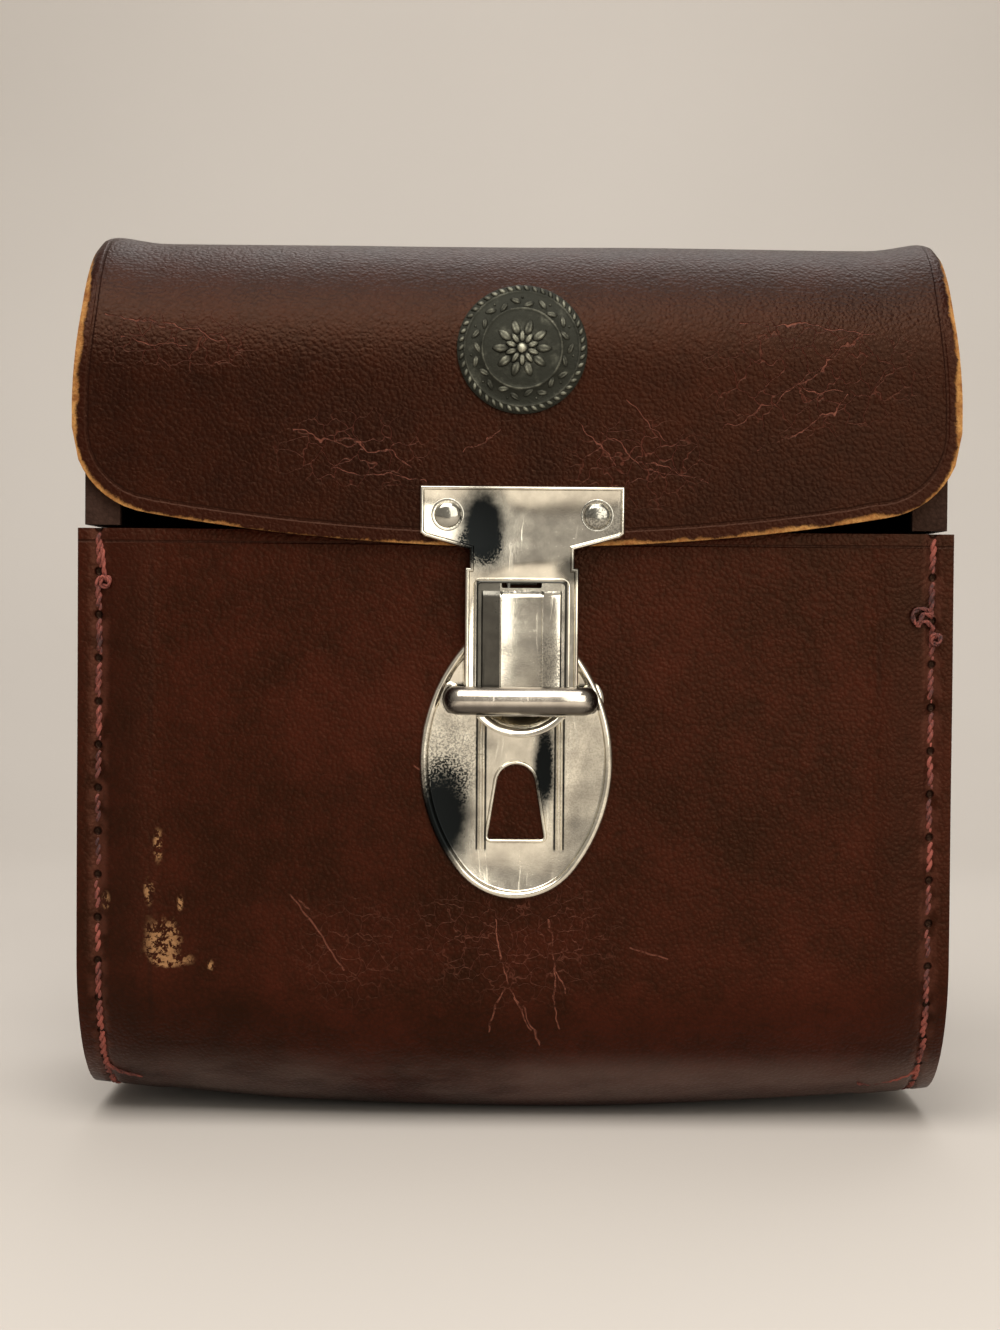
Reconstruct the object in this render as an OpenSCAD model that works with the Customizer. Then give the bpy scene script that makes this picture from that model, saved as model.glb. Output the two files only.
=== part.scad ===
// Hard leather case for a pair of field glasses, closed by a spring hasp.
// The front is towards -Y, the lid is hinged at the back and +Z is up.

/* [Case body] */
// Outside width of the wrapped sheet
case_w = 175; // [160:1:200]
// Outside depth of the wrapped sheet, front face to back face
case_d = 85; // [78:1:100]
// Height of the wrapped sheet up to its cut top edges
body_h = 121; // [112:1:134]
// Outside radius of the two bottom bends
bottom_r = 30; // [24:1:34]
// How far the middle of the floor has sagged below its ends
floor_sag = 5; // [2:0.5:7]
// How much of the sag is worn flat where the case stands
foot_wear = 0.4; // [0.2:0.1:0.6]
// Thickness of the sheet leather
leather_t = 2.8; // [2.2:0.1:3.4]
// Thickness of the side panels and lid ends
panel_t = 2.4; // [1.8:0.1:3]
// How far the side panels stand back from the edges of the sheet
panel_set = 1.5; // [0.8:0.1:2.5]
// Width of the turned edge of a side panel
flange_w = 14.5; // [12:0.5:18]

/* [Seams] */
// Distance from one stitch to the next
stitch_pitch = 8.3; // [7.5:0.1:10]
// Length of one stitch
stitch_len = 6; // [4:0.5:7]
// Diameter of the waxed thread
thread_d = 1.4; // [1:0.1:1.6]
// Distance of the seam from the edge of the sheet
seam_in = 4.2; // [3.6:0.1:6]
// Width of the groove that the thread lies in
groove_w = 2.2; // [2:0.1:2.8]
// How far the thread lies below the face of the sheet
thread_sink = 0.25; // [0.2:0.05:0.5]

/* [Lining] */
// Thickness of the felt lining
lining_t = 1.2; // [0.8:0.1:1.6]
// How far the lining stops below the rim
lining_short = 5; // [3:1:12]
// Thickness of the shaped pad on the floor of the case
pad_h = 9; // [5:1:14]

/* [Lid] */
// Height of the closed case
lid_h = 183; // [174:1:198]
// How far the lid sheet stands out past the body on each side
lid_over = 0.7; // [0.2:0.1:1.3]
// Outside radius of the bend over the front
lid_front_r = 30; // [24:1:36]
// Outside radius of the bend at the back
lid_back_r = 20; // [14:1:24]
// Gap between the lid and the body
lid_gap = 0.3; // [0.2:0.1:0.6]
// Gap between the flap and the front of the body
flap_gap = 0.6; // [0.4:0.1:1]
// How far the flap laps below the rim in the middle
flap_lap = 3.2; // [2.5:0.1:6]
// Radius of the bowed lower edge of the flap
flap_bow_r = 435; // [380:5:600]
// Radius of the lower corners of the flap
flap_corner_r = 17; // [12:1:22]
// Width of the turned edge of a lid end
lid_flange_w = 8.4; // [6:0.2:12]

/* [Hinge] */
// Width of the leather hinge
hinge_w = 148; // [120:1:156]
// Height of each half of the hinge
hinge_h = 15; // [12:1:18]
// Thickness of the hinge leather
hinge_t = 1.8; // [1.5:0.1:2.4]
// Distance of the hinge seam from the fold
hinge_seam = 11; // [8:0.5:11]
// Depth of the groove in the hinge leather
hinge_groove = 0.8; // [0.4:0.1:1]

/* [Hasp] */
// Sideways place of the hasp and staple
latch_x = 1.2; // [-3:0.1:3]
// Thickness of the hasp metal
hasp_t = 1; // [0.8:0.1:1.2]
// Width of the cross piece
hasp_w = 40.6; // [36:0.2:46]
// Height of the cross piece above the edge of the flap
hasp_rise = 12; // [11:0.5:14]
// Height of the outer shoulders above the edge of the flap
shoulder_z = 1.8; // [1:0.1:3]
// Width of the neck
neck_w = 20.8; // [19.4:0.2:21.8]
// Width of the channel below the neck
channel_w = 22.6; // [22:0.2:23.6]
// Drop from the edge of the flap to the start of the channel
neck_drop = 4.2; // [3.8:0.1:5]
// Width of the window
window_w = 17.2; // [16.6:0.2:18]
// Drop from the edge of the flap to the top of the window
window_drop = 7.2; // [6.8:0.1:8]
// Width of the pressed rim round the hasp
rim_w = 1; // [0.6:0.1:1.4]
// Height of the pressed rim
rim_h = 0.4; // [0.2:0.1:0.6]
// Distance of a hasp rivet from the middle
rivet_x = 14.8; // [13.6:0.1:16.4]
// Height of the hasp rivets above the edge of the flap
rivet_rise = 6.2; // [5.8:0.1:8]
// Radius of a hasp rivet's head
rivet_r = 2.6; // [2.2:0.1:3]
// Radius of a hasp rivet's shank
rivet_shank_r = 1.2; // [1:0.1:1.5]

/* [Spring tongue] */
// Thickness of the tongue
tongue_t = 0.7; // [0.6:0.05:0.8]
// Width of the tongue
tongue_w = 17.6; // [17:0.2:18.6]
// Width of the thumb ridge
ridge_w = 15.9; // [15:0.1:16.2]
// Width of the flat facet on the ridge
facet_w = 8; // [5:0.5:10]
// How far the ridge stands out of the hasp
ridge_out = 0.3; // [0.2:0.05:0.35]
// Radius of the rounded tip
tip_r = 11.7; // [10.5:0.1:13]
// How far the tip reaches below the middle of the staple
tip_drop = 7.3; // [6.8:0.1:8]
// Hook of the lip in front of the inner face of the staple
lip_hook = 1; // [0.8:0.1:1]
// Radius of the pivot pin
pin_r = 0.7; // [0.6:0.05:0.8]

/* [Staple and strike plate] */
// Drop from the rim of the body to the middle of the staple
bar_drop = 33.7; // [30:0.1:36]
// Overall width of the staple
bar_w = 30.8; // [30:0.1:32]
// Height of the staple's half round bar
bar_h = 5.8; // [5:0.1:6.4]
// Depth of the staple's half round bar
bar_t = 2.6; // [2.2:0.1:2.8]
// Sideways place of the strike plate
strike_x = 0.4; // [-2:0.1:2]
// Width of the strike plate
strike_w = 38.8; // [38:0.2:42]
// Height of the strike plate
strike_h = 55.6; // [50:0.2:60]
// Radius of the ends of the oval
strike_end_r = 15; // [13:0.5:16]
// Drop from the middle of the staple to the middle of the plate
strike_drop = 12.3; // [10:0.1:14]
// Thickness of the strike plate
strike_t = 0.8; // [0.6:0.1:0.9]
// Width of the rolled rim
bead_w = 1.8; // [1.2:0.1:2.2]
// Distance of each guide rib from the middle
rib_x = 7.8; // [7.4:0.1:8.4]
// How far the guide ribs reach below the middle of the plate
rib_reach = 17.7; // [17:0.1:20]
// Drop from the middle of the plate to the top of its window
window_high = 0.6; // [0:0.1:2]
// Drop from the middle of the plate to the foot of its window
window_low = 15.6; // [14:0.1:17]
// Thickness of the steel strip inside, under the staple
backing_t = 1; // [0.8:0.1:1.2]
// How far the steel strip reaches past the staple on each side
backing_over = 3.5; // [2.5:0.1:5]
// How far the steel strip reaches above and below the staple
backing_rise = 2.5; // [1.5:0.1:4]

/* [Badge] */
// Sideways place of the badge
badge_x = 0.9; // [-2:0.1:2]
// Height of the badge between the hasp and the top of the lid, as a share
badge_share = 0.51; // [0.46:0.01:0.58]
// Width of the badge
badge_w = 25.8; // [22:0.2:30]
// Thickness of the badge
badge_t = 1.2; // [1:0.1:1.6]
// Petals in the rosette
petals = 10; // [6:1:14]

/* [Strap loops] */
// Distance of each loop from the middle
loop_x = 46; // [36:1:60]
// Width of a loop
loop_w = 18; // [14:1:24]
// Length of a loop
loop_len = 50; // [46:1:56]
// Room behind a loop for the strap
loop_gap = 5.5; // [5:0.1:6.5]
// Thickness of a loop
loop_t = 2.2; // [1.8:0.1:2.6]
// Length of each riveted foot
loop_foot = 9.5; // [9:0.5:11]
// Drop from the rim of the body to the top of the loops
loop_drop = 24; // [22:1:34]
// Radius of a loop rivet's head
loop_rivet_r = 3.2; // [2.6:0.1:3.6]

/* [Hidden] */
$fn = 64;
eps = 0.01;
hide = "#54231a";
dark_hide = "#2b1512";
felt = "#3a3230";
nickel = "#c3bfb4";
steel = "#8d8b86";
thread = "#b06050";

// Width of the lid sheet and radius of the sagged floor
lid_w = case_w + 2 * lid_over;
sag_r = (case_w * case_w / 4 + floor_sag * floor_sag) / (2 * floor_sag);
sag_turn = asin((case_w / 2 + 4) / (sag_r - body_h - 4));

// Depth of the parts that stand out in front and behind
bar_in = flap_gap + leather_t + hasp_t + 0.6;
front_proud = bar_in + bar_t;
back_proud = loop_gap + loop_t;
middle_y = (front_proud - back_proud) / 2;
front_y = middle_y - case_d / 2;
back_y = middle_y + case_d / 2;

// Levels and radii that follow from the sizes above
panel_out = case_w / 2 - panel_set;
seam_x = case_w / 2 - seam_in;
groove_deep = thread_sink + thread_d + 0.05;
thread_r = bottom_r - thread_sink - thread_d / 2;
lid_floor = body_h + lid_gap;
flap_z = body_h - flap_lap;
flap_out = flap_gap + leather_t;
flap_y = front_y - flap_out;
hinge_z = body_h + lid_gap / 2;
flap_bow_z = flap_z + flap_bow_r;
flap_reach = flap_bow_r - flap_corner_r;
flap_corner_x = lid_w / 2 - flap_corner_r;
flap_corner_z = flap_bow_z - sqrt(flap_reach * flap_reach - flap_corner_x * flap_corner_x);
bar_z = body_h - bar_drop;
strike_z = bar_z - strike_drop;

// Levels of the hasp and tongue, counted outwards from the body's front
hasp_back = flap_out;
hasp_face = hasp_back + hasp_t;
hasp_end = bar_z - 1.3;
hasp_wall = 0.9;
wall_back = 2;
neck_z = flap_z - neck_drop;
window_top = flap_z - window_drop;
window_end = hasp_end + 2.6;
rivet_z = flap_z + rivet_rise;
leaf_front = hasp_back - 0.1;
leaf_back = leaf_front - tongue_t;
pin_z = window_top + 0.8;
pin_out = leaf_back - 1;
lip_top = bar_z - bar_h / 2 - 0.3;
tip_z = bar_z - tip_drop;
coil_r = pin_r + 0.05;
coil_t = 0.4;
burr_t = 0.8;
tab_w = 10.4;
through = 12 * leather_t;
loop_z = body_h - loop_drop - loop_len;
loop_shank_r = 1.4;
loop_burr_r = loop_rivet_r - 0.2;

// Puts a flat shape of Y and Z across the case, from x0 to x1
module across(x0, x1) {
  translate([x0, 0, 0]) rotate([90, 0, 90]) linear_extrude(x1 - x0) children();
}

// Puts a flat shape of Y and Z across the body, from x0 to x1 and up to top,
// with its floor sagging towards the middle and worn flat where it stands
module across_sagged(x0, x1, top) {
  intersection() {
    translate([0, 0, sag_r - foot_wear]) rotate([90, 90, 180]) rotate([0, 0, -sag_turn])
      rotate_extrude(angle = 2 * sag_turn, $fn = 720)
        translate([sag_r, 0]) rotate(90) children();
    translate([x0, -case_d, 0]) cube([x1 - x0, 2 * case_d, top]);
  }
}

// Height that a point of the flat shape comes to at x on the sagged body
function sagged(x, z) = sag_r - foot_wear - sqrt(pow(sag_r - z, 2) - x * x);

// Puts a flat shape of X and Z on the front, from out to out + t in front of the body
module on_front(out, t) {
  translate([0, front_y - out, 0]) rotate([90, 0, 0]) linear_extrude(t) children();
}

// Puts a flat shape of X and Z on the back, from out to out + t behind the body
module on_back(out, t) {
  translate([0, back_y + out + t, 0]) rotate([90, 0, 0]) linear_extrude(t) children();
}

// Puts a solid on the left for side = -1 and on the right for side = 1
module on_side(side) {
  if (side > 0) children();
  else mirror([1, 0, 0]) children();
}

// Outline of the body seen from the side, drawn in by a margin, open at the top
module body_outline(inset) {
  half = case_d / 2;
  top = body_h + 3;
  translate([middle_y, 0]) {
    translate([inset - half, bottom_r]) square([case_d - 2 * inset, top - bottom_r]);
    translate([bottom_r - half, inset]) square([case_d - 2 * bottom_r, bottom_r]);
    for (s = [-1, 1]) translate([s * (half - bottom_r), bottom_r]) circle(bottom_r - inset);
  }
}

// Outline of the lid seen from the side, drawn in by a margin, open at the bottom
module lid_outline(inset, floor_z) {
  front_c = flap_y + lid_front_r;
  back_c = back_y - lid_back_r;
  front_arc_z = lid_h - lid_front_r;
  back_arc_z = lid_h - lid_back_r;
  translate([flap_y + inset, floor_z])
    square([back_y - flap_y - 2 * inset, front_arc_z - floor_z]);
  translate([front_c, floor_z]) square([back_c - front_c, lid_h - inset - floor_z]);
  translate([front_c, floor_z]) square([back_y - inset - front_c, back_arc_z - floor_z]);
  translate([front_c, front_arc_z]) circle(lid_front_r - inset);
  translate([back_c, back_arc_z]) circle(lid_back_r - inset);
}

// Front view of the flap, with its bowed edge and rounded corners
module flap_outline() {
  touch_x = flap_corner_x * flap_bow_r / flap_reach;
  translate([-lid_w / 2, flap_corner_z]) square([lid_w, lid_h]);
  for (s = [-1, 1]) translate([s * flap_corner_x, flap_corner_z]) circle(flap_corner_r);
  intersection() {
    translate([0, flap_bow_z]) circle(flap_bow_r, $fn = 360);
    translate([-touch_x, flap_z - 1])
      square([2 * touch_x, flap_corner_z - flap_z + 1 + eps]);
  }
}

// Front, bottom and back of the body: one sheet, grooved for the seams
module body_wrap() {
  color(hide) difference() {
    across_sagged(-case_w / 2, case_w / 2, body_h) difference() {
      body_outline(0);
      body_outline(leather_t);
    }
    for (s = [-1, 1]) {
      across_sagged(s * seam_x - groove_w / 2, s * seam_x + groove_w / 2, body_h + 1)
        difference() {
          body_outline(-1);
          body_outline(groove_deep);
        }
      translate([latch_x + s * (bar_w / 2 - bar_t / 2), front_y, bar_z])
        cube([bar_t + 0.2, through, bar_h + 0.2], center = true);
    }
    on_front(-leather_t - 1, leather_t + 2) translate([strike_x, 0]) tab_slot(0.1);
    loop_rivet_places() cylinder(r = loop_shank_r, h = through, center = true);
  }
}

// Side of the body: a panel whose edge is turned in all round under the sheet
module side_panel(side) {
  inner = panel_out - panel_t;
  color(hide) on_side(side) difference() {
    across_sagged(panel_out - flange_w + panel_set, panel_out, body_h) body_outline(leather_t);
    across_sagged(0, inner, body_h + 1) body_outline(leather_t + panel_t);
  }
}

// One straight stitch along X, Y or Z
module stitch(turn) {
  rotate(turn) cylinder(d = thread_d, h = stitch_len, center = true, $fn = 20);
}

// Stitches up the front, round both bends, along the bottom and up the back
module seam_thread(side) {
  rise = body_h - sagged(seam_x, bottom_r);
  n_rise = floor(rise / stitch_pitch);
  n_bend = max(2, round(PI / 2 * bottom_r / stitch_pitch));
  floor_len = case_d - 2 * bottom_r;
  n_floor = floor(floor_len / stitch_pitch);
  bend_y = case_d / 2 - bottom_r;
  bend_z = sagged(seam_x, bottom_r);
  color(thread) translate([side * seam_x, middle_y, 0]) {
    for (s = [-1, 1], i = [0 : n_rise - 1])
      translate([0, s * (bend_y + thread_r), bend_z + (i + 0.5) * rise / n_rise])
        stitch([0, 0, 0]);
    for (s = [-1, 1], i = [0 : n_bend - 1]) {
      turn = (i + 0.5) * 90 / n_bend;
      translate([0, s * (bend_y + thread_r * sin(turn)),
                 sagged(seam_x, bottom_r - thread_r * cos(turn))])
        stitch([90 + s * turn, 0, 0]);
    }
    for (i = [0 : n_floor - 1])
      translate([0, (i + 0.5 - n_floor / 2) * floor_len / n_floor,
                 sagged(seam_x, bottom_r - thread_r)])
        stitch([90, 0, 0]);
  }
}

// Felt on the inside of the sheet, between the turned edges of the side panels
module body_lining() {
  half = case_w / 2 - flange_w - 0.3;
  color(felt) difference() {
    across_sagged(-half, half, body_h - lining_short) difference() {
      body_outline(leather_t);
      body_outline(leather_t + lining_t);
    }
    translate([latch_x, front_y + leather_t, bar_z])
      cube([bar_w + 2 * backing_over + 2, 6, bar_h + 2 * backing_rise + 2], center = true);
    loop_rivet_places() cylinder(r = loop_burr_r + 0.3, h = through, center = true);
  }
}

// Felt on the inside of a side panel
module side_lining(side) {
  inner = panel_out - panel_t;
  color(felt) on_side(side) across_sagged(inner - lining_t, inner, body_h - lining_short)
    body_outline(leather_t + panel_t);
}

// Shaped pad that the glasses stand on, curved to the bottom bends
module base_pad() {
  half = case_w / 2 - flange_w - 0.6;
  color(felt) across_sagged(-half, half, leather_t + lining_t + pad_h)
    body_outline(leather_t + lining_t);
}

// Oval of four arcs, drawn in by a margin
module oval(w, h, end_r, inset) {
  a = w / 2;
  up = h / 2 - end_r;
  side_r = (up * up + a * a - end_r * end_r) / (2 * (a - end_r));
  back = side_r - a;
  far = sqrt(back * back + up * up);
  cut = up * side_r / far;
  for (s = [-1, 1]) translate([0, s * up]) circle(end_r - inset);
  intersection() {
    translate([-back, 0]) circle(side_r - inset, $fn = 120);
    translate([back, 0]) circle(side_r - inset, $fn = 120);
    square([w, 2 * (cut - inset * up / far)], center = true);
  }
}

module strike_oval(inset) {
  translate([0, strike_z]) oval(strike_w, strike_h, strike_end_r, inset);
}

// Tombstone shaped window in the strike plate
module strike_window() {
  top_r = 3.9;
  foot = 5.6;
  shoulder = window_high + top_r - 0.5;
  translate([0, strike_z]) {
    translate([0, -window_high - top_r]) circle(top_r);
    polygon([
      [-foot, -window_low], [foot, -window_low], [top_r, -shoulder], [-top_r, -shoulder]
    ]);
  }
}

// Foot of the window, where its tab is bent back through the leather
module tab_slot(play) {
  translate([0, strike_z - window_low - strike_t / 2])
    square([tab_w + 2 * play, strike_t + 2 * play], center = true);
}

// Nickelled oval plate with a rolled rim, two guide ribs and a lanced tab
module strike_plate() {
  rib_w = 1.6;
  rib_low = strike_z - rib_reach;
  color(nickel) difference() {
    union() {
      translate([strike_x, 0, 0]) {
        on_front(0, strike_t) strike_oval(0);
        on_front(strike_t - eps, 0.5) difference() {
          strike_oval(0.2);
          strike_oval(bead_w);
        }
        on_front(strike_t, 0.8) difference() {
          strike_oval(0.5);
          strike_oval(bead_w - 0.4);
        }
        on_front(-leather_t, leather_t + eps) tab_slot(0);
      }
      for (s = [-1, 1]) translate([latch_x + s * rib_x, 0, 0])
        on_front(strike_t - eps, 0.5) translate([-rib_w / 2, rib_low])
          square([rib_w, bar_z - rib_low + bar_h / 2]);
      for (s = [-1, 1])
        translate([latch_x + s * (bar_w - bar_t) / 2, front_y - strike_t + eps, bar_z])
          rotate([90, 0, 0]) cylinder(r1 = bar_h / 2 + 0.9, r2 = bar_h / 2 + 0.4, h = 0.5);
    }
    for (s = [-1, 1])
      translate([latch_x + s * (bar_w - bar_t) / 2, front_y, bar_z])
        cube([bar_t + 0.2, 6, bar_h + 0.2], center = true);
    translate([strike_x, 0, 0]) on_front(-eps, 3) difference() {
      strike_window();
      tab_slot(0);
    }
  }
}

// Half round section of the staple, its flat side on the Y axis
module half_round() {
  r = (bar_h * bar_h / 4 + bar_t * bar_t) / (2 * bar_t);
  intersection() {
    translate([bar_t - r, 0]) circle(r, $fn = 96);
    translate([0, -bar_h / 2]) square([bar_t, bar_h]);
  }
}

// Half round bar bent into a staple, its legs through plate, leather and strip
module staple() {
  bend_r = 1.6;
  leg_x = bar_w / 2 - bar_t;
  leg_len = leather_t + backing_t + 0.6 + bar_in - bend_r;
  color(nickel) translate([latch_x, front_y - bar_in, bar_z]) {
    translate([bend_r - leg_x, 0, 0]) rotate([90, 0, 90])
      linear_extrude(2 * (leg_x - bend_r)) mirror([1, 0]) half_round();
    for (s = [-1, 1]) mirror([s < 0 ? 1 : 0, 0, 0]) translate([leg_x - bend_r, bend_r, 0]) {
      rotate([0, 0, -90]) rotate_extrude(angle = 90) translate([bend_r, 0]) half_round();
      translate([bend_r, leg_len, 0]) rotate([90, 0, 0]) linear_extrude(leg_len) half_round();
    }
  }
}

// Steel strip behind the front sheet that the staple's legs are clinched over
module staple_backing() {
  color(steel) translate([latch_x, 0, 0]) on_front(-leather_t - backing_t, backing_t)
    translate([0, bar_z]) difference() {
      square([bar_w + 2 * backing_over, bar_h + 2 * backing_rise], center = true);
      for (s = [-1, 1]) translate([s * (bar_w - bar_t) / 2, 0])
        square([bar_t + 0.04, bar_h + 0.04], center = true);
    }
}

// Flat leather strip riveted at both ends, raised in the middle for a strap
module strap_loop(side) {
  c = loop_t * (sqrt(2) - 1);
  a = loop_foot;
  b = loop_foot + loop_gap;
  color(hide) difference() {
    translate([0, back_y, loop_z]) across(side * loop_x - loop_w / 2, side * loop_x + loop_w / 2)
      polygon([
        [0, 0], [loop_t, 0], [loop_t, a], [loop_t + loop_gap, b],
        [loop_t + loop_gap, loop_len - b], [loop_t, loop_len - a], [loop_t, loop_len],
        [0, loop_len], [0, loop_len - a - c], [loop_gap, loop_len - b - c],
        [loop_gap, b + c], [0, a + c]
      ]);
    loop_rivet_places() cylinder(r = loop_shank_r, h = through, center = true);
  }
}

// The four places of the loop rivets, each with its axis pointing backwards
module loop_rivet_places() {
  for (s = [-1, 1], z = [loop_foot / 2, loop_len - loop_foot / 2])
    translate([s * loop_x, back_y, loop_z + z]) rotate([-90, 0, 0]) children();
}

// Domed head on the XY plane
module rivet_head(r, h) {
  ball = (r * r + h * h) / (2 * h);
  rotate_extrude() intersection() {
    translate([0, h - ball]) circle(ball, $fn = 96);
    square([r, h]);
  }
}

module loop_rivets() {
  color(nickel) loop_rivet_places() {
    translate([0, 0, loop_t]) rivet_head(loop_rivet_r, 1.1);
    translate([0, 0, -leather_t - burr_t])
      cylinder(r = loop_shank_r, h = loop_t + leather_t + burr_t + eps);
    translate([0, 0, -leather_t - burr_t]) mirror([0, 0, 1]) rivet_head(loop_shank_r + 0.6, 0.7);
  }
}

module loop_burrs() {
  color(steel) loop_rivet_places() translate([0, 0, -leather_t - burr_t]) difference() {
    cylinder(r = loop_burr_r, h = burr_t);
    translate([0, 0, -1]) cylinder(r = loop_shank_r, h = burr_t + 2);
  }
}

// One half of the leather hinge, grooved for its seam
module hinge_leaf(up) {
  color(hide) difference() {
    on_back(0, hinge_t) translate([-hinge_w / 2, up > 0 ? hinge_z : hinge_z - hinge_h])
      square([hinge_w, hinge_h]);
    on_back(hinge_t - hinge_groove, 1) translate([0, hinge_z + up * hinge_seam])
      square([hinge_w + 1, groove_w], center = true);
  }
}

module hinge_thread(up) {
  n = floor(hinge_w / stitch_pitch) - 1;
  out = hinge_t - hinge_groove + thread_d / 2 + 0.05;
  color(thread) for (i = [0 : n - 1])
    translate([(i + 0.5 - n / 2) * stitch_pitch, back_y + out, hinge_z + up * hinge_seam])
      stitch([0, 90, 0]);
}

// Back, top and front flap of the lid: one sheet, its flap cut to shape
module lid_sheet() {
  low = flap_z - 4;
  color(hide) difference() {
    across(-lid_w / 2, lid_w / 2) difference() {
      lid_outline(0, low);
      lid_outline(leather_t, low - 1);
    }
    translate([-lid_w, middle_y, 0]) cube([2 * lid_w, case_d, lid_floor]);
    on_front(-1, flap_out + 2) difference() {
      translate([-lid_w, 0]) square([2 * lid_w, flap_corner_z]);
      flap_outline();
    }
    hasp_rivet_places() cylinder(r = rivet_shank_r, h = through, center = true);
  }
}

// End of the lid: a panel whose edge is turned in under the lid sheet
module lid_end(side) {
  inner = panel_out - panel_t;
  color(dark_hide) on_side(side) difference() {
    across(panel_out - lid_flange_w, panel_out) lid_outline(leather_t, lid_floor);
    across(0, inner) lid_outline(leather_t + panel_t, lid_floor - 1);
  }
}

module lid_lining() {
  half = panel_out - lid_flange_w - 0.3;
  color(felt) across(-half, half) difference() {
    lid_outline(leather_t, lid_floor + lining_short + 6);
    lid_outline(leather_t + lining_t, lid_floor);
  }
}

// Front view of the hasp, drawn in by a margin
module hasp_outline(inset) {
  w = hasp_w / 2 - inset;
  n = neck_w / 2 - inset;
  c = channel_w / 2 - inset;
  top = flap_z + hasp_rise - inset;
  low = flap_z + shoulder_z + inset;
  for (s = [0, 1]) mirror([s, 0]) polygon([
    [0, top], [w, top], [w, low + 0.8], [w - 1, low],
    [n, flap_z - 0.6 + inset], [n, neck_z - inset], [c, neck_z - inset],
    [c, hasp_end + inset], [0, hasp_end + inset]
  ]);
}

module hasp_window(grow) {
  translate([-window_w / 2 - grow, window_end - grow])
    square([window_w + 2 * grow, window_top - window_end + 2 * grow]);
}

module hasp_rivet_places() {
  for (s = [-1, 1]) translate([latch_x + s * rivet_x, front_y - hasp_face, rivet_z])
    rotate([90, 0, 0]) children();
}

// Nickelled hasp: cross piece, neck and a channel with a window for the thumb ridge
module hasp_plate() {
  c = channel_w / 2;
  step_z = strike_z + strike_h / 2 + 1.2;
  bare_end = 6.2;
  color(nickel) difference() {
    translate([latch_x, 0, 0]) {
      on_front(hasp_back, hasp_t) difference() {
        hasp_outline(0);
        hasp_window(0);
      }
      on_front(hasp_face - eps, rim_h) difference() {
        hasp_outline(0);
        hasp_outline(rim_w);
        translate([-c, hasp_end - 1]) square([2 * c, bare_end + 1]);
      }
      for (s = [-1, 1]) translate([s * (c - hasp_wall / 2), 0, 0]) {
        on_front(wall_back, hasp_back - wall_back + eps)
          translate([-hasp_wall / 2, hasp_end]) square([hasp_wall, neck_z - hasp_end]);
        on_front(0.5, hasp_back - 0.5 + eps)
          translate([-hasp_wall / 2, step_z]) square([hasp_wall, neck_z - step_z]);
      }
    }
    hasp_rivet_places() cylinder(r = rivet_shank_r, h = through, center = true);
    pin_place() cylinder(r = pin_r, h = 2 * channel_w, center = true, $fn = 32);
  }
}

module hasp_rivets() {
  grip = hasp_face - flap_gap + burr_t;
  color(nickel) hasp_rivet_places() {
    rivet_head(rivet_r, 1);
    translate([0, 0, -grip]) cylinder(r = rivet_shank_r, h = grip + eps);
    translate([0, 0, -grip]) mirror([0, 0, 1]) rivet_head(rivet_shank_r + 0.4, 0.5);
  }
}

module hasp_burrs() {
  color(steel) hasp_rivet_places() translate([0, 0, flap_gap - burr_t - hasp_face]) difference() {
    cylinder(r = rivet_r - 0.2, h = burr_t);
    translate([0, 0, -1]) cylinder(r = rivet_shank_r, h = burr_t + 2);
  }
}

// The tongue's pivot, across the channel behind the top of the window
module pin_place() {
  translate([latch_x, front_y - pin_out, pin_z]) rotate([0, 90, 0]) children();
}

module tongue_pin() {
  color(steel) pin_place() cylinder(r = pin_r, h = channel_w, center = true, $fn = 32);
}

// Sleeve of fine wire round the pin, one end on the hasp and one on the tongue
module tongue_spring() {
  wire_w = 0.5;
  color(steel) {
    pin_place() difference() {
      cylinder(r = coil_r + coil_t, h = 6, center = true, $fn = 32);
      cylinder(r = coil_r, h = 7, center = true, $fn = 32);
    }
    translate([latch_x - 2.8, 0, 0]) on_front(leaf_back - 0.5, 0.35)
      translate([0, pin_z - 3]) square([wire_w, 2.4]);
    translate([latch_x + 2.3, 0, 0]) on_front(hasp_back - 0.6, 0.6)
      translate([0, pin_z]) square([wire_w, 3]);
    translate([latch_x + 2.3, 0, 0]) on_front(pin_out + coil_r + 0.1, hasp_back - pin_out - coil_r - 0.2)
      translate([0, pin_z - 0.4]) square([wire_w, 1]);
  }
}

// Section of the turned lip, from the leaf out to the rim of the tip
module lip_section() {
  flat_r = tip_r - 3.5;
  lip_out = bar_in + lip_hook;
  polygon([
    [flat_r - 1, leaf_back], [flat_r, leaf_back], [tip_r - 0.8, lip_out - 1.6],
    [tip_r, lip_out - 0.6], [tip_r, lip_out], [tip_r - 0.7, lip_out],
    [tip_r - 1.6, lip_out - 0.9], [flat_r, leaf_front], [flat_r - 1, leaf_front]
  ]);
}

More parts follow.
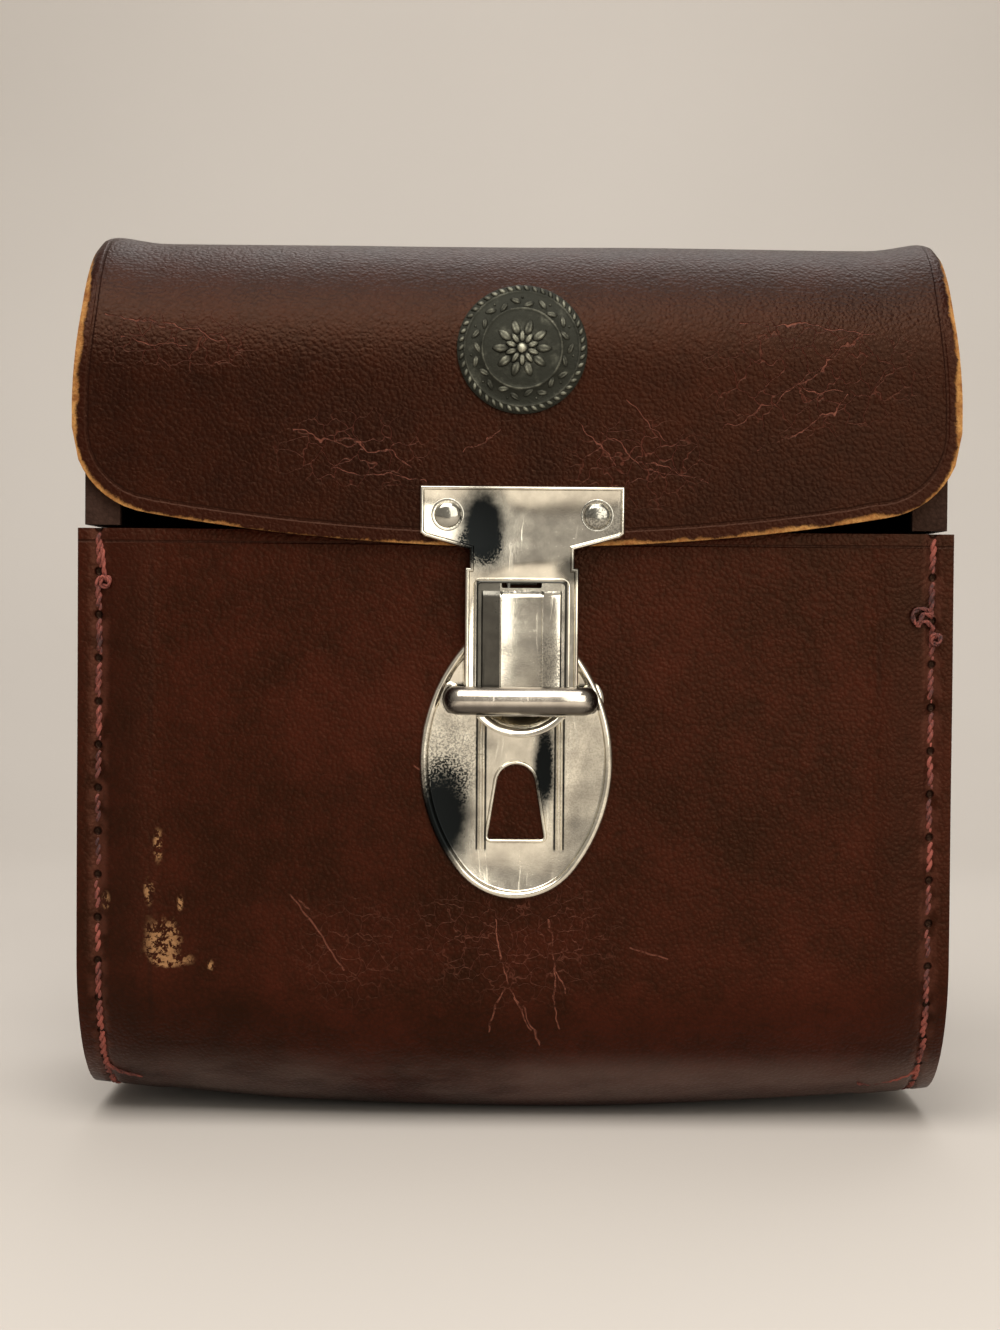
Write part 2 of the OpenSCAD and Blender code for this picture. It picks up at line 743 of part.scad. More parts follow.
// Sprung tongue: faceted thumb ridge in the window, dished lip under the staple
module spring_tongue() {
  ridge_top = window_top - 1.6;
  ridge_low = window_end + 0.7;
  ridge_face = hasp_face + ridge_out;
  tip_c = tip_z + tip_r;
  lip_deep = bar_in + lip_hook + 1;
  color(nickel) translate([latch_x, 0, 0]) {
    difference() {
      on_front(leaf_back, tongue_t) {
        translate([-tongue_w / 2, lip_top]) square([tongue_w, pin_z + 1 - lip_top]);
        intersection() {
          translate([0, tip_c]) circle(tip_r - 3.5);
          translate([-tongue_w / 2, lip_top - 9]) square([tongue_w, 9 + eps]);
        }
      }
      on_front(leaf_back - 1, tongue_t + 2)
        translate([-4, pin_z - 1.8]) square([8, 9]);
    }
    translate([0, front_y, ridge_low]) linear_extrude(ridge_top - ridge_low) polygon([
      [-ridge_w / 2, -leaf_front + eps], [-ridge_w / 2, -ridge_face + 0.8],
      [-facet_w / 2, -ridge_face], [facet_w / 2, -ridge_face],
      [ridge_w / 2, -ridge_face + 0.8], [ridge_w / 2, -leaf_front + eps]
    ]);
    intersection() {
      translate([0, front_y, tip_c]) rotate([90, 0, 0]) rotate_extrude($fn = 96) lip_section();
      translate([-tongue_w / 2, front_y - lip_deep, tip_z - 1])
        cube([tongue_w, lip_deep, lip_top - tip_z + 1 + eps]);
    }
    for (s = [-1, 1]) translate([s * (tongue_w / 2 - 0.6), front_y, pin_z])
      rotate([90, 0, 90]) translate([0, 0, -0.6]) linear_extrude(1.2) difference() {
        union() {
          translate([-pin_out, 0]) circle(pin_r + 0.6, $fn = 32);
          translate([-leaf_back - eps, -pin_r - 0.6])
            square([leaf_back - pin_out + eps, 2 * pin_r + 1.2]);
        }
        translate([-pin_out, 0]) circle(pin_r + 0.05, $fn = 32);
      }
  }
}

// Band that follows the front of the lid, from out to out + t off its face
module lid_skin(out, t) {
  across(-badge_w, badge_w) difference() {
    lid_outline(-out - t, flap_z);
    lid_outline(-out, flap_z - 1);
    translate([flap_y + lid_front_r, 0]) square([case_d, 2 * lid_h]);
  }
}

// Round badge bent to the lid: a plain field, a rope rim and a rosette
module badge() {
  r = badge_w / 2;
  hasp_top = flap_z + hasp_rise;
  z = hasp_top + badge_share * (lid_h - hasp_top);
  color("#55564a") translate([badge_x, 0, 0]) {
    intersection() {
      lid_skin(0, badge_t);
      on_front(-lid_front_r, 3 * lid_front_r) translate([0, z]) circle(r);
    }
    intersection() {
      lid_skin(badge_t - eps, 0.6);
      on_front(-lid_front_r, 3 * lid_front_r) translate([0, z]) {
        difference() {
          circle(r - 0.3);
          circle(r - 1.9);
        }
        circle(r * 0.17);
        for (i = [0 : petals - 1]) rotate(i * 360 / petals)
          translate([r * 0.46, 0]) circle(r * 0.13, $fn = 24);
      }
    }
  }
}

body_wrap();
side_panel(-1);  // side_panel_left
side_panel(1);  // side_panel_right
seam_thread(-1);  // seam_thread_left
seam_thread(1);  // seam_thread_right
body_lining();
side_lining(-1);  // side_lining_left
side_lining(1);  // side_lining_right
base_pad();
strike_plate();
staple();
staple_backing();
strap_loop(-1);  // strap_loop_left
strap_loop(1);  // strap_loop_right
loop_rivets();
loop_burrs();
hinge_leaf(-1);  // hinge_leaf_body
hinge_thread(-1);  // hinge_thread_body
hinge_leaf(1);  // hinge_leaf_lid
hinge_thread(1);  // hinge_thread_lid
lid_sheet();
lid_end(-1);  // lid_end_left
lid_end(1);  // lid_end_right
lid_lining();
hasp_plate();
hasp_rivets();
hasp_burrs();
badge();
spring_tongue();
tongue_pin();
tongue_spring();
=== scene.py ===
import math
import random

import bmesh
import bpy
from mathutils import Matrix, Quaternion, Vector, noise


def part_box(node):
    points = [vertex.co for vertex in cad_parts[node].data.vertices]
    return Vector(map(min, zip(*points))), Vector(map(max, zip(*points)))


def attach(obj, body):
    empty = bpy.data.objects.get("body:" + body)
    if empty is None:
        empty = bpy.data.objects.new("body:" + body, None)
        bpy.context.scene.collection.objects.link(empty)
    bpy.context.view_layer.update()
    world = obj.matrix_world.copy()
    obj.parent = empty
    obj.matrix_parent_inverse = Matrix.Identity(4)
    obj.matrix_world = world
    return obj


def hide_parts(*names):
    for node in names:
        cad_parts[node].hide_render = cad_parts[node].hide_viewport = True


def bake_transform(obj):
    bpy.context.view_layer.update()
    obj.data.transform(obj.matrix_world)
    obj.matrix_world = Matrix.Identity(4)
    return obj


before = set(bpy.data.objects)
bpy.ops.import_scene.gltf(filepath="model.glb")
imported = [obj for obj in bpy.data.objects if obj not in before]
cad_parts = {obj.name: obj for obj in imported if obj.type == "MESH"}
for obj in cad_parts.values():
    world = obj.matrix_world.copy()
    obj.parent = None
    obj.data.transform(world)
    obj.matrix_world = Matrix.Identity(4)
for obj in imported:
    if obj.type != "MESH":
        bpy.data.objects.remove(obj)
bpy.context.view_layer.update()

# Body sheet: one piece of saddle leather, 2.8 mm thick, that makes the front,
# the floor and the back of the case. It is bent wet round both bottom edges,
# its cut edges are dyed, and its floor has sagged in the middle with age.
MM = 0.001
LEATHER = 2.8 * MM
BEND_R = 30 * MM
SAG = 5 * MM
WORN_FLAT = 0.4 * MM
SEAM_IN = 4.2 * MM
PANEL_RIDGE = 72.8 * MM
WAX_GLARE = (1.0, 0.52, 0.32, 1.0)
body_low, body_high = (Vector(c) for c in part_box("body_wrap"))
rim_z = body_high.z
half_w = body_high.x
front_y, back_y = body_low.y, body_high.y
middle_y = (front_y + back_y) / 2
seam_x = half_w - SEAM_IN
sag_r = (half_w ** 2 + SAG ** 2) / (2 * SAG)


def sagged(x, z):
    """Height that the floor's curve gives to a point at x that was drawn at z."""
    return sag_r - WORN_FLAT - math.sqrt((sag_r - z) ** 2 - x * x)


def sag_down(x, z):
    """Sags a point of the body, less and less from the bends up to the straight rim."""
    share = min(1, max(0, (rim_z - z) / (rim_z - BEND_R)))
    return max(0.0, z + share * (sagged(x, z) - z))


def start(name, place):
    """Begins a piece in edit mode as one point, which the next calls draw out."""
    bpy.ops.object.select_all(action="DESELECT")
    bpy.ops.mesh.primitive_plane_add(size=MM)
    piece = bpy.context.object
    piece.name = piece.data.name = name
    bpy.ops.object.mode_set(mode="EDIT")
    bpy.ops.mesh.select_mode(type="VERT")
    bpy.ops.mesh.merge(type="CENTER")
    bpy.ops.transform.translate(value=place)
    return piece


def draw(way, steps=1):
    """Draws the selected end out in equal steps."""
    for _ in range(steps):
        bpy.ops.mesh.extrude_region_move(
            TRANSFORM_OT_translate={"value": Vector(way) / steps})


def bend(centre, degrees, steps, axis=(1, 0, 0)):
    """Draws the selected end round a bend."""
    bpy.ops.mesh.spin(steps=steps, angle=-math.radians(degrees), center=centre, axis=axis)


def start_row(name, stations, y, z):
    """Begins a sheet as a row of points along X, all of them selected."""
    piece = start(name, (stations[0], y, z))
    for here, there in zip(stations, stations[1:]):
        draw((there - here, 0, 0))
    bpy.ops.mesh.select_all(action="SELECT")
    return piece


def turn_out(piece, middle):
    """Turns the faces of a piece away from a point inside it, and leaves edit mode."""
    bpy.ops.mesh.select_all(action="SELECT")
    bpy.ops.mesh.remove_doubles(threshold=0.01 * MM)
    bpy.ops.mesh.normals_make_consistent(inside=False)
    shape = bmesh.from_edit_mesh(piece.data)
    shape.normal_update()
    outward = sum((f.calc_center_median() - Vector(middle)).dot(f.normal) * f.calc_area()
                  for f in shape.faces)
    if outward < 0:
        bpy.ops.mesh.flip_normals()
    bpy.ops.object.mode_set(mode="OBJECT")


def mould(piece, move):
    """Moves each point of a piece: move takes its place and normal, and gives its place."""
    for point, normal in [(v, v.normal.copy()) for v in piece.data.vertices]:
        point.co = move(point.co.copy(), normal)
    piece.data.update()


def mark(piece, name, value):
    """Writes a number on each point of a piece, for its finish to read."""
    layer = piece.data.attributes.new(name, "FLOAT", "POINT")
    layer.data.foreach_set("value", [value(v.co) for v in piece.data.vertices])


def harden(piece, **modifiers):
    """Adds modifiers to a piece and applies them, one after the other."""
    bpy.ops.object.select_all(action="DESELECT")
    piece.select_set(True)
    bpy.context.view_layer.objects.active = piece
    for kind, settings in modifiers.items():
        made = piece.modifiers.new(kind, kind.rstrip("_2").upper())
        for name, value in settings.items():
            setattr(made, name, value)
        bpy.ops.object.modifier_apply(modifier=made.name)


def smooth(piece, degrees=40):
    """Shades a piece smooth, but for edges sharper than an angle."""
    bpy.ops.object.select_all(action="DESELECT")
    piece.select_set(True)
    bpy.context.view_layer.objects.active = piece
    bpy.ops.object.shade_smooth_by_angle(angle=math.radians(degrees))


def fit(piece, body, slot, finishes, *nodes):
    """Gives a piece its finishes, the body that it moves with and the nodes it stands for."""
    piece.data.materials.clear()
    for made in finishes:
        piece.data.materials.append(made)
    if body:
        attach(piece, body)
    if nodes:
        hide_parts(*nodes)


def ease(value):
    """Runs smoothly from 0 to 1 as value does, and stays there."""
    value = min(1, max(0, value))
    return value * value * (3 - 2 * value)


class Dye:
    """A socket in a finish: sums on it add Math nodes, and node() adds any other node."""

    def __init__(self, tree, socket=None):
        self.tree = tree
        self.socket = socket

    def node(self, kind, settings=None, sockets=None, out=0):
        """Adds a node: its settings first, then a value or a link for each socket."""
        made = self.tree.nodes.new(kind)
        for name, value in (settings or {}).items():
            if name == "stops":
                while len(made.color_ramp.elements) < len(value):
                    made.color_ramp.elements.new(0.5)
                for stop, (place, colour) in zip(made.color_ramp.elements, value):
                    stop.position = place
                    stop.color = colour
            else:
                setattr(made, name, value)
        for name, value in (sockets or {}).items():
            self.feed(made.inputs[name], value)
        return Dye(self.tree, made.outputs[out])

    def feed(self, socket, value):
        """Links or sets one input."""
        if isinstance(value, Dye):
            self.tree.links.new(value.socket, socket)
        else:
            socket.default_value = value

    def sum(self, operation, *values):
        return self.node("ShaderNodeMath", {"operation": operation}, dict(enumerate(values)))

    def __add__(self, other):
        return self.sum("ADD", self, other)

    def __radd__(self, other):
        return self.sum("ADD", other, self)

    def __sub__(self, other):
        return self.sum("SUBTRACT", self, other)

    def __rsub__(self, other):
        return self.sum("SUBTRACT", other, self)

    def __mul__(self, other):
        return self.sum("MULTIPLY", self, other)

    def __rmul__(self, other):
        return self.sum("MULTIPLY", other, self)

    def __truediv__(self, other):
        return self.sum("DIVIDE", self, other)

    def __rtruediv__(self, other):
        return self.sum("DIVIDE", other, self)

    def __pow__(self, other):
        return self.sum("POWER", self, other)

    def size(self):
        return self.sum("ABSOLUTE", self)

    def rise(self, low, high):
        """0 below low, 1 above high, smooth between; low may be the higher of the two."""
        flip = low > high
        ends = {"From Min": min(low, high), "From Max": max(low, high),
                "To Min": float(flip), "To Max": float(not flip)}
        return self.node("ShaderNodeMapRange", {"interpolation_type": "SMOOTHSTEP"},
                         {"Value": self, **ends})

    def grain(self, place, scale, detail=2.0, rough=0.5, stretch=None, out="Fac"):
        """Noise over the object, scale in lumps a metre, drawn out along stretch."""
        if stretch:
            place = place.node("ShaderNodeMapping", {}, {"Vector": place, "Scale": stretch})
        return self.node("ShaderNodeTexNoise", {}, {
            "Vector": place, "Scale": scale, "Detail": detail, "Roughness": rough}, out)

    def cells(self, place, scale, feature="F1", out="Distance", stretch=None):
        """Cells over the object, scale in cells a metre."""
        if stretch:
            place = place.node("ShaderNodeMapping", {}, {"Vector": place, "Scale": stretch})
        return self.node("ShaderNodeTexVoronoi", {"feature": feature},
                         {"Vector": place, "Scale": scale}, out)

    def mix(self, a, b):
        """Colour a where this is 0, colour b where it is 1."""
        return self.node("ShaderNodeMix", {"data_type": "RGBA"}, {0: self, 6: a, 7: b}, 2)

    def shove(self, place, scale, reach):
        """Place, pushed about by up to reach so that what is drawn there wanders."""
        cloud = self.grain(place, scale, 2.0, out="Color")
        centred = self.node("ShaderNodeVectorMath", {"operation": "SUBTRACT"},
                            {0: cloud, 1: (0.5, 0.5, 0.5)})
        scaled = self.node("ShaderNodeVectorMath", {"operation": "SCALE"},
                           {0: centred, "Scale": 2 * reach})
        return self.node("ShaderNodeVectorMath", {"operation": "ADD"}, {0: place, 1: scaled})


def card(red, green, blue):
    """A colour as on a colour card, 0 to 255, in Blender's own numbers."""
    return tuple((c / 255 / 12.92 if c < 11 else ((c / 255 + 0.055) / 1.055) ** 2.4)
                 for c in (red, green, blue)) + (1.0,)


class Finish:
    """A material in the making: its shader, and each point's place on the object."""

    def __init__(self, name):
        self.made = bpy.data.materials.new(name)
        self.made.use_nodes = True
        tree = self.made.node_tree
        self.shader = tree.nodes["Principled BSDF"]
        self.dye = Dye(tree)
        self.place = self.dye.node("ShaderNodeTexCoord", out="Object")
        parts = self.dye.node("ShaderNodeSeparateXYZ", {}, {0: self.place})
        self.x, self.y, self.z = (Dye(tree, parts.socket.node.outputs[i]) for i in range(3))

    def number(self, name):
        """What mark() wrote on the piece's points."""
        return self.dye.node("ShaderNodeAttribute", {"attribute_name": name}, out="Fac")

    def blot(self, x, z, wide, high, ragged=0.6):
        """A soft patch on the front, sizes in millimetres, 1 in its middle, ragged at its edge."""
        across = (self.x / MM - x) / wide
        up = (self.z / MM - z) / high
        ripple = self.dye.grain(self.place, 260, 5.0, 0.7) - 0.5
        reach = (across * across + up * up) ** 0.5 + ripple * ragged
        return reach.rise(1.3, 0.45) * self.y.rise(-0.012, -0.016)

    def hairline(self, *lines, width=0.3, wander=1.4):
        """Cracks or scratches through points (x, z) in millimetres, 1 along their wandering lines."""
        pushed = self.dye.node("ShaderNodeSeparateXYZ", {}, {0: self.dye.shove(self.place, 210, wander * MM)})
        x, z = (Dye(self.dye.tree, pushed.socket.node.outputs[i]) / MM for i in (0, 2))
        nearest = None
        for line in lines:
            for (x1, z1), (x2, z2) in zip(line, line[1:]):
                way = Vector((x2 - x1, z2 - z1))
                run = (x - x1) * (way.x / way.length_squared) + (z - z1) * (way.y / way.length_squared)
                run = run.sum("MINIMUM", run.sum("MAXIMUM", run, 0.0), 1.0)
                off_x, off_z = x - x1 - run * way.x, z - z1 - run * way.y
                gap = (off_x * off_x + off_z * off_z) ** 0.5
                nearest = gap.sum("MINIMUM", nearest, gap) if nearest else gap
        broken = self.dye.grain(self.place, 300, 4.0, 0.7).rise(0.36, 0.56)
        return nearest.rise(width, width * 0.35) * broken * self.y.rise(-0.012, -0.016)

    def set(self, **sockets):
        """Sets the shader's sockets; relief is the surface's height in millimetres."""
        relief = sockets.pop("relief", None)
        if relief:
            self.dye.feed(self.shader.inputs["Normal"], self.dye.node(
                "ShaderNodeBump", {}, {"Strength": 1.0, "Distance": MM, "Height": relief}))
        for name, value in sockets.items():
            self.dye.feed(self.shader.inputs[name.replace("_", " ")], value)
        return self.made


def grain_side(finish, dark, light, glare):
    """Colour, shine and relief of dyed leather with its pebbled grain side out."""
    dye, place = finish.dye, finish.place
    blotch = dye.grain(place, 22, 4.0, 0.62)
    cloud = dye.grain(place, 130, 3.0, 0.6)
    pore = dye.grain(place, 900, 2.0, 0.6)
    wander = dye.shove(place, 700, 0.35 * MM)
    pebble = dye.cells(wander, 1250)
    fold = dye.cells(dye.shove(place, 240, 1.2 * MM), 420, "DISTANCE_TO_EDGE")
    depth = (blotch - 0.5) * 1.3 + (cloud - 0.5) * 0.9 + (pebble - 0.4) * -0.35 + 0.45
    colour = depth.rise(0.0, 1.0).mix(card(*dark), card(*light))
    shine = glare + (blotch - 0.5) * 0.16 + (pore - 0.5) * 0.25 + pebble * 0.12
    relief = (pebble * -0.12 + fold.rise(0.0, 0.1) * 0.016 + (cloud - 0.5) * 0.07
              + (pore - 0.5) * 0.06)
    return colour, shine, relief


def raw_edge(name, pale, deep):
    """Cut edge of leather, its fibres lying in layers along the cut."""
    finish = Finish(name)
    layers = finish.dye.grain(finish.place, 900, 3.0, 0.7)
    clumps = finish.dye.grain(finish.place, 160, 3.0, 0.6)
    tone = (layers * 0.5 + clumps * 0.8 - 0.15).rise(0.2, 0.8)
    return finish.set(Base_Color=tone.mix(card(*deep), card(*pale)), Roughness=0.85,
                      relief=layers * 0.25 + clumps * 0.1)


body_leather = Finish("body_leather")
tone, shine, relief = grain_side(body_leather, (24, 5, 1), (54, 17, 8), 0.32)
dye, x, z = body_leather.dye, body_leather.x, body_leather.z
stitch_gap = ((body_leather.number("stitch").sum("FRACT", body_leather.number("stitch"))
               - 0.5) * 8.3 * MM).size()
off_seam = (x.size() - seam_x).size()
hole = ((stitch_gap * stitch_gap + off_seam * off_seam) ** 0.5).rise(0.95 * MM, 0.45 * MM)
rubbed = off_seam.rise(2.6 * MM, 1.0 * MM) * dye.grain(body_leather.place, 260, 3.0).rise(0.35, 0.6)
tone = (rubbed * 0.35).mix(tone, card(112, 66, 52))
top_line = (z - (rim_z - 2.6 * MM)).size().rise(0.35 * MM, 0.1 * MM)
tone = (top_line * 0.6).mix(tone, card(22, 8, 6))
panel_line = (x.size() - PANEL_RIDGE).size().rise(0.8 * MM, 0.2 * MM) * dye.grain(
    body_leather.place, 60, 3.0).rise(0.35, 0.6)
tone = (panel_line * 0.45).mix(tone, card(24, 8, 5))
cracks = body_leather.hairline(
    [(-3.4, 43.2), (-2.4, 36), (-1, 30), (2.6, 24), (5, 17.5)], [(-1, 30), (-3.6, 25.6), (-4.6, 20.5)],
    [(7.4, 43.4), (8.2, 33), (9.2, 20.5)], [(8.2, 33), (10.6, 28.5)], [(0.6, 27), (3.4, 20.5)], width=0.26)
scratches = body_leather.hairline(
    [(-44.6, 47.6), (-39.4, 41), (-33.8, 32.8)], [(-43, 46.6), (-40.4, 44.4)], [(23.6, 37.6), (31.2, 35.4)],
    [(-20, 74), (-12, 68.5)], width=0.24, wander=0.7)
grit = dye.grain(body_leather.place, 900, 3.0, 0.7)
flaked = grit.rise(0.46, 0.53)
scuffs = (body_leather.blot(-70.4, 38.2, 3.6, 4.6, 1.3) + body_leather.blot(-68.4, 34.4, 4, 1.4, 1.4)
          + body_leather.blot(-71.2, 57.4, 0.9, 3.2, 1.8) + body_leather.blot(-73, 48.4, 0.9, 2.6, 1.8)
          + body_leather.blot(-81.6, 46.4, 0.8, 1.6, 1.6) + body_leather.blot(-66.8, 46, 0.6, 1.6, 1.8)
          + body_leather.blot(-60.6, 33.4, 0.7, 1, 1.8)) * flaked * 0.9
crazed = dye.cells(dye.shove(body_leather.place, 260, 2.2 * MM), 300, "DISTANCE_TO_EDGE").rise(0.035, 0.0)
crazed = crazed * (body_leather.blot(0, 40, 22, 14, 1.0) + body_leather.blot(-33, 36, 11, 12, 1.0) * 0.7)
tone = (scratches * 0.6 + crazed * 0.25).mix(tone, card(118, 70, 56))
tone = (cracks * 0.7).mix(tone, card(128, 76, 60))
tone = scuffs.sum("MINIMUM", scuffs, 0.9).mix(tone, card(150, 110, 74))
# Painted shade: the leather is darkened in a soft band along each seam.
painted_seam_shade = (x.size() - seam_x + 3 * MM).size().rise(9 * MM, 3 * MM)
tone = (painted_seam_shade * 0.4).mix(tone, card(20, 6, 3))
# Low on the front, grey patches: partly real scuffing from standing, partly a painted reflection of the pale floor.
scuff_and_floor_reflection = z.rise(17 * MM, 8 * MM) * z.rise(1 * MM, 5 * MM) * dye.grain(
    body_leather.place, 34, 5.0, 0.65, (0.4, 1, 1)).rise(0.34, 0.62)
tone = (scuff_and_floor_reflection * 0.5).mix(tone, card(112, 92, 84))
# Painted shade: each stitch hole, which the mesh does not cut, is painted near-black.
tone = hole.mix(tone, card(9, 4, 3))
relief = relief - top_line * 0.15 - hole * 0.5 - cracks * 0.3 - scratches * 0.12 - crazed * 0.08 - scuffs * 0.1
shine = shine + scuffs * 0.3 + cracks * 0.2
body_leather_made = body_leather.set(Base_Color=tone, Roughness=shine, relief=relief,
                                     Specular_IOR_Level=0.2,
    Specular_Tint=WAX_GLARE)
dyed_edge = raw_edge("dyed_cut_edge", (74, 45, 34), (24, 12, 9))

from_seam = [-1.6, -1.1, -0.7, 0, 0.7, 1.1, 1.6]
side_stations = ([PANEL_RIDGE - 3 * MM, PANEL_RIDGE - MM, PANEL_RIDGE + MM, PANEL_RIDGE + 3 * MM]
                 + [seam_x + d * MM for d in from_seam] + [half_w - 1.2 * MM, half_w])
middle_stations = [-0.92 * PANEL_RIDGE + i * 0.92 * PANEL_RIDGE / 14 for i in range(29)]
stations = [-s for s in reversed(side_stations)] + middle_stations + side_stations
wall_h = rim_z - BEND_R
floor_half = half_d = (back_y - front_y) / 2 - BEND_R

body_sheet = start_row("body_sheet", stations, back_y, rim_z)
draw((0, 0, -wall_h), 30)
bend((0, middle_y + floor_half, BEND_R), -90, 16)
draw((0, -2 * floor_half, 0), 10)
bend((0, middle_y - floor_half, BEND_R), -90, 16)
draw((0, 0, wall_h), 30)
turn_out(body_sheet, (0, middle_y, rim_z / 2))

wall_pitch = (rim_z - sagged(seam_x, BEND_R)) / 10
bend_pitch = BEND_R * math.pi / 2 / 6
floor_pitch = 2 * floor_half / 3


def stitches_along(place):
    """How many stitches lie between a point of the undrawn sheet and the floor's middle."""
    out = abs(place.y - middle_y)
    if place.z >= BEND_R - 1e-6:
        return 7.5 + (sag_down(place.x, place.z) - sagged(place.x, BEND_R)) / wall_pitch
    if out <= floor_half:
        return out / floor_pitch
    return 1.5 + BEND_R * math.atan2(out - floor_half, BEND_R - place.z) / bend_pitch


def shape_body(place, normal):
    """Groove at each seam, a step over each side panel's edge, a few dents, and the sag."""
    groove = ease(1.25 - abs(abs(place.x) - seam_x) / (1.3 * MM)) * 0.45 * MM
    step = ease((abs(place.x) - PANEL_RIDGE) / (3 * MM) + 0.5) * 0.3 * MM
    dent = noise.noise(place * 32) * 0.35 * MM
    place = place + normal * (step + dent - groove)
    place.z = sag_down(place.x, place.z)
    return place


mark(body_sheet, "stitch", stitches_along)
mould(body_sheet, shape_body)
harden(body_sheet, solidify={"thickness": LEATHER, "offset": -1, "material_offset_rim": 1},
       bevel={"width": 0.7 * MM, "segments": 3, "angle_limit": math.radians(50)})
smooth(body_sheet)
fit(body_sheet, "case", "sheet_leather", [body_leather_made, dyed_edge], "body_wrap")

# Side panels: a thinner leather panel for each side of the body, wet-moulded
# with its edge turned in all round, so that the seam takes the sheet and the
# turned edge together. The panel stands back from the edge of the sheet.
PANEL = 2.4 * MM
PANEL_BACK = 1.5 * MM
TURNED = 13 * MM
panel_x = half_w - PANEL_BACK

side_leather = Finish("side_leather")
tone, shine, relief = grain_side(side_leather, (25, 6, 2), (53, 18, 10), 0.36)
scrape = side_leather.dye.grain(side_leather.place, 60, 4.0, 0.7).rise(0.6, 0.75)
side_leather_made = side_leather.set(Base_Color=(scrape * 0.4).mix(tone, card(104, 60, 44)),
                                     Roughness=shine + scrape * 0.15, relief=relief,
                                     Specular_IOR_Level=0.2,
    Specular_Tint=WAX_GLARE)


def close_tray(piece, side, turned, thickness, round_r):
    """Turns a drawn outline into a moulded panel: edge turned in and face filled."""
    bpy.ops.mesh.select_all(action="SELECT")
    draw((-side * turned, 0, 0), 3)
    bpy.ops.mesh.select_all(action="DESELECT")
    shape = bmesh.from_edit_mesh(piece.data)
    for point in shape.verts:
        point.select_set(abs(point.co.x - side * panel_x) < 0.01 * MM)
    shape.select_flush(True)
    bmesh.update_edit_mesh(piece.data)
    bpy.ops.mesh.edge_face_add()
    bpy.ops.mesh.select_all(action="DESELECT")
    shape = bmesh.from_edit_mesh(piece.data)
    for face in shape.faces:
        face.select_set(len(face.verts) > 4)
    bmesh.update_edit_mesh(piece.data)
    for inward in (1.5, 1.5, 2):
        bpy.ops.mesh.inset(thickness=inward * MM, depth=0)
    bpy.ops.mesh.poke()
    turn_out(piece, (0, middle_y, rim_z / 2))
    harden(piece, solidify={"thickness": thickness, "offset": -1},
           bevel={"width": round_r, "segments": 5, "angle_limit": math.radians(50)})
    smooth(piece)


for side, hand in ((-1, "left"), (1, "right")):
    panel = start(f"{hand}_side", (side * panel_x, back_y - LEATHER, rim_z - 0.3 * MM))
    draw((0, 0, -wall_h + 0.3 * MM), 8)
    bend((0, middle_y + floor_half, BEND_R), -90, 16)
    draw((0, -2 * floor_half, 0), 4)
    bend((0, middle_y - floor_half, BEND_R), -90, 16)
    draw((0, 0, wall_h - 0.3 * MM), 8)
    close_tray(panel, side, TURNED, PANEL, 1.1 * MM)
    mould(panel, lambda place, normal: Vector((place.x, place.y, sag_down(place.x, place.z))))
    fit(panel, "case", "panel_leather", [side_leather_made], f"side_panel_{hand}")

# Seam threads: two plies of waxed linen, once red, faded and dirty. They are
# saddle stitched through the sheet and the turned edge, and lie in the groove.
THREAD_R = 0.42 * MM
THREAD_IN = 0.3 * MM
STITCH_HALF = 3.35 * MM
PLY_TURN = 4.2 * MM
chance = random.Random(7)


def weld(piece, *others):
    """Makes one piece of several."""
    bpy.ops.object.select_all(action="DESELECT")
    for part in (piece, *others):
        part.select_set(True)
    bpy.context.view_layer.objects.active = piece
    if others:
        bpy.ops.object.join()


def strand(name, points, r=THREAD_R):
    """Draws two plies, twisted round each other, along a smooth line through points."""
    line = [Vector(p) for p in points]
    line = [2 * line[0] - line[1]] + line + [2 * line[-1] - line[-2]]
    path = []
    for a, b, c, d in zip(line, line[1:], line[2:], line[3:]):
        for step in range(4):
            t = step / 4
            path.append(0.5 * ((2 * b) + (c - a) * t + (2 * a - 5 * b + 4 * c - d) * t * t
                               + (3 * b - a - 3 * c + d) * t ** 3))
    path.append(line[-2])
    curve = bpy.data.curves.new(name, "CURVE")
    curve.dimensions = "3D"
    curve.bevel_depth = r
    curve.bevel_resolution = 1
    curve.use_fill_caps = True
    for ply in (0, math.pi):
        spline = curve.splines.new("POLY")
        spline.points.add(len(path) - 1)
        run = 0
        for i, place in enumerate(path):
            way = (path[min(i + 1, len(path) - 1)] - path[max(i - 1, 0)]).normalized()
            out = way.cross((0, 0.96, 0.28)).normalized()
            run += (place - path[max(i - 1, 0)]).length
            turn = ply + 2 * math.pi * run / PLY_TURN
            spoke = out * math.cos(turn) + way.cross(out) * math.sin(turn)
            spline.points[i].co = (*(place + spoke * r * 0.8), 1)
    piece = bpy.data.objects.new(name, curve)
    bpy.context.collection.objects.link(piece)
    bpy.ops.object.select_all(action="DESELECT")
    piece.select_set(True)
    bpy.context.view_layer.objects.active = piece
    bpy.ops.object.convert(target="MESH")
    return bpy.context.object


def repeat(pattern, places):
    """Copies a pattern to each place, a matrix, and makes one piece of the copies."""
    copies = []
    for place in places:
        copy = pattern.copy()
        copy.data = pattern.data.copy()
        copy.data.transform(place)
        bpy.context.collection.objects.link(copy)
        copies.append(copy)
    bpy.data.objects.remove(pattern)
    weld(copies[0], *copies[1:])
    return copies[0]


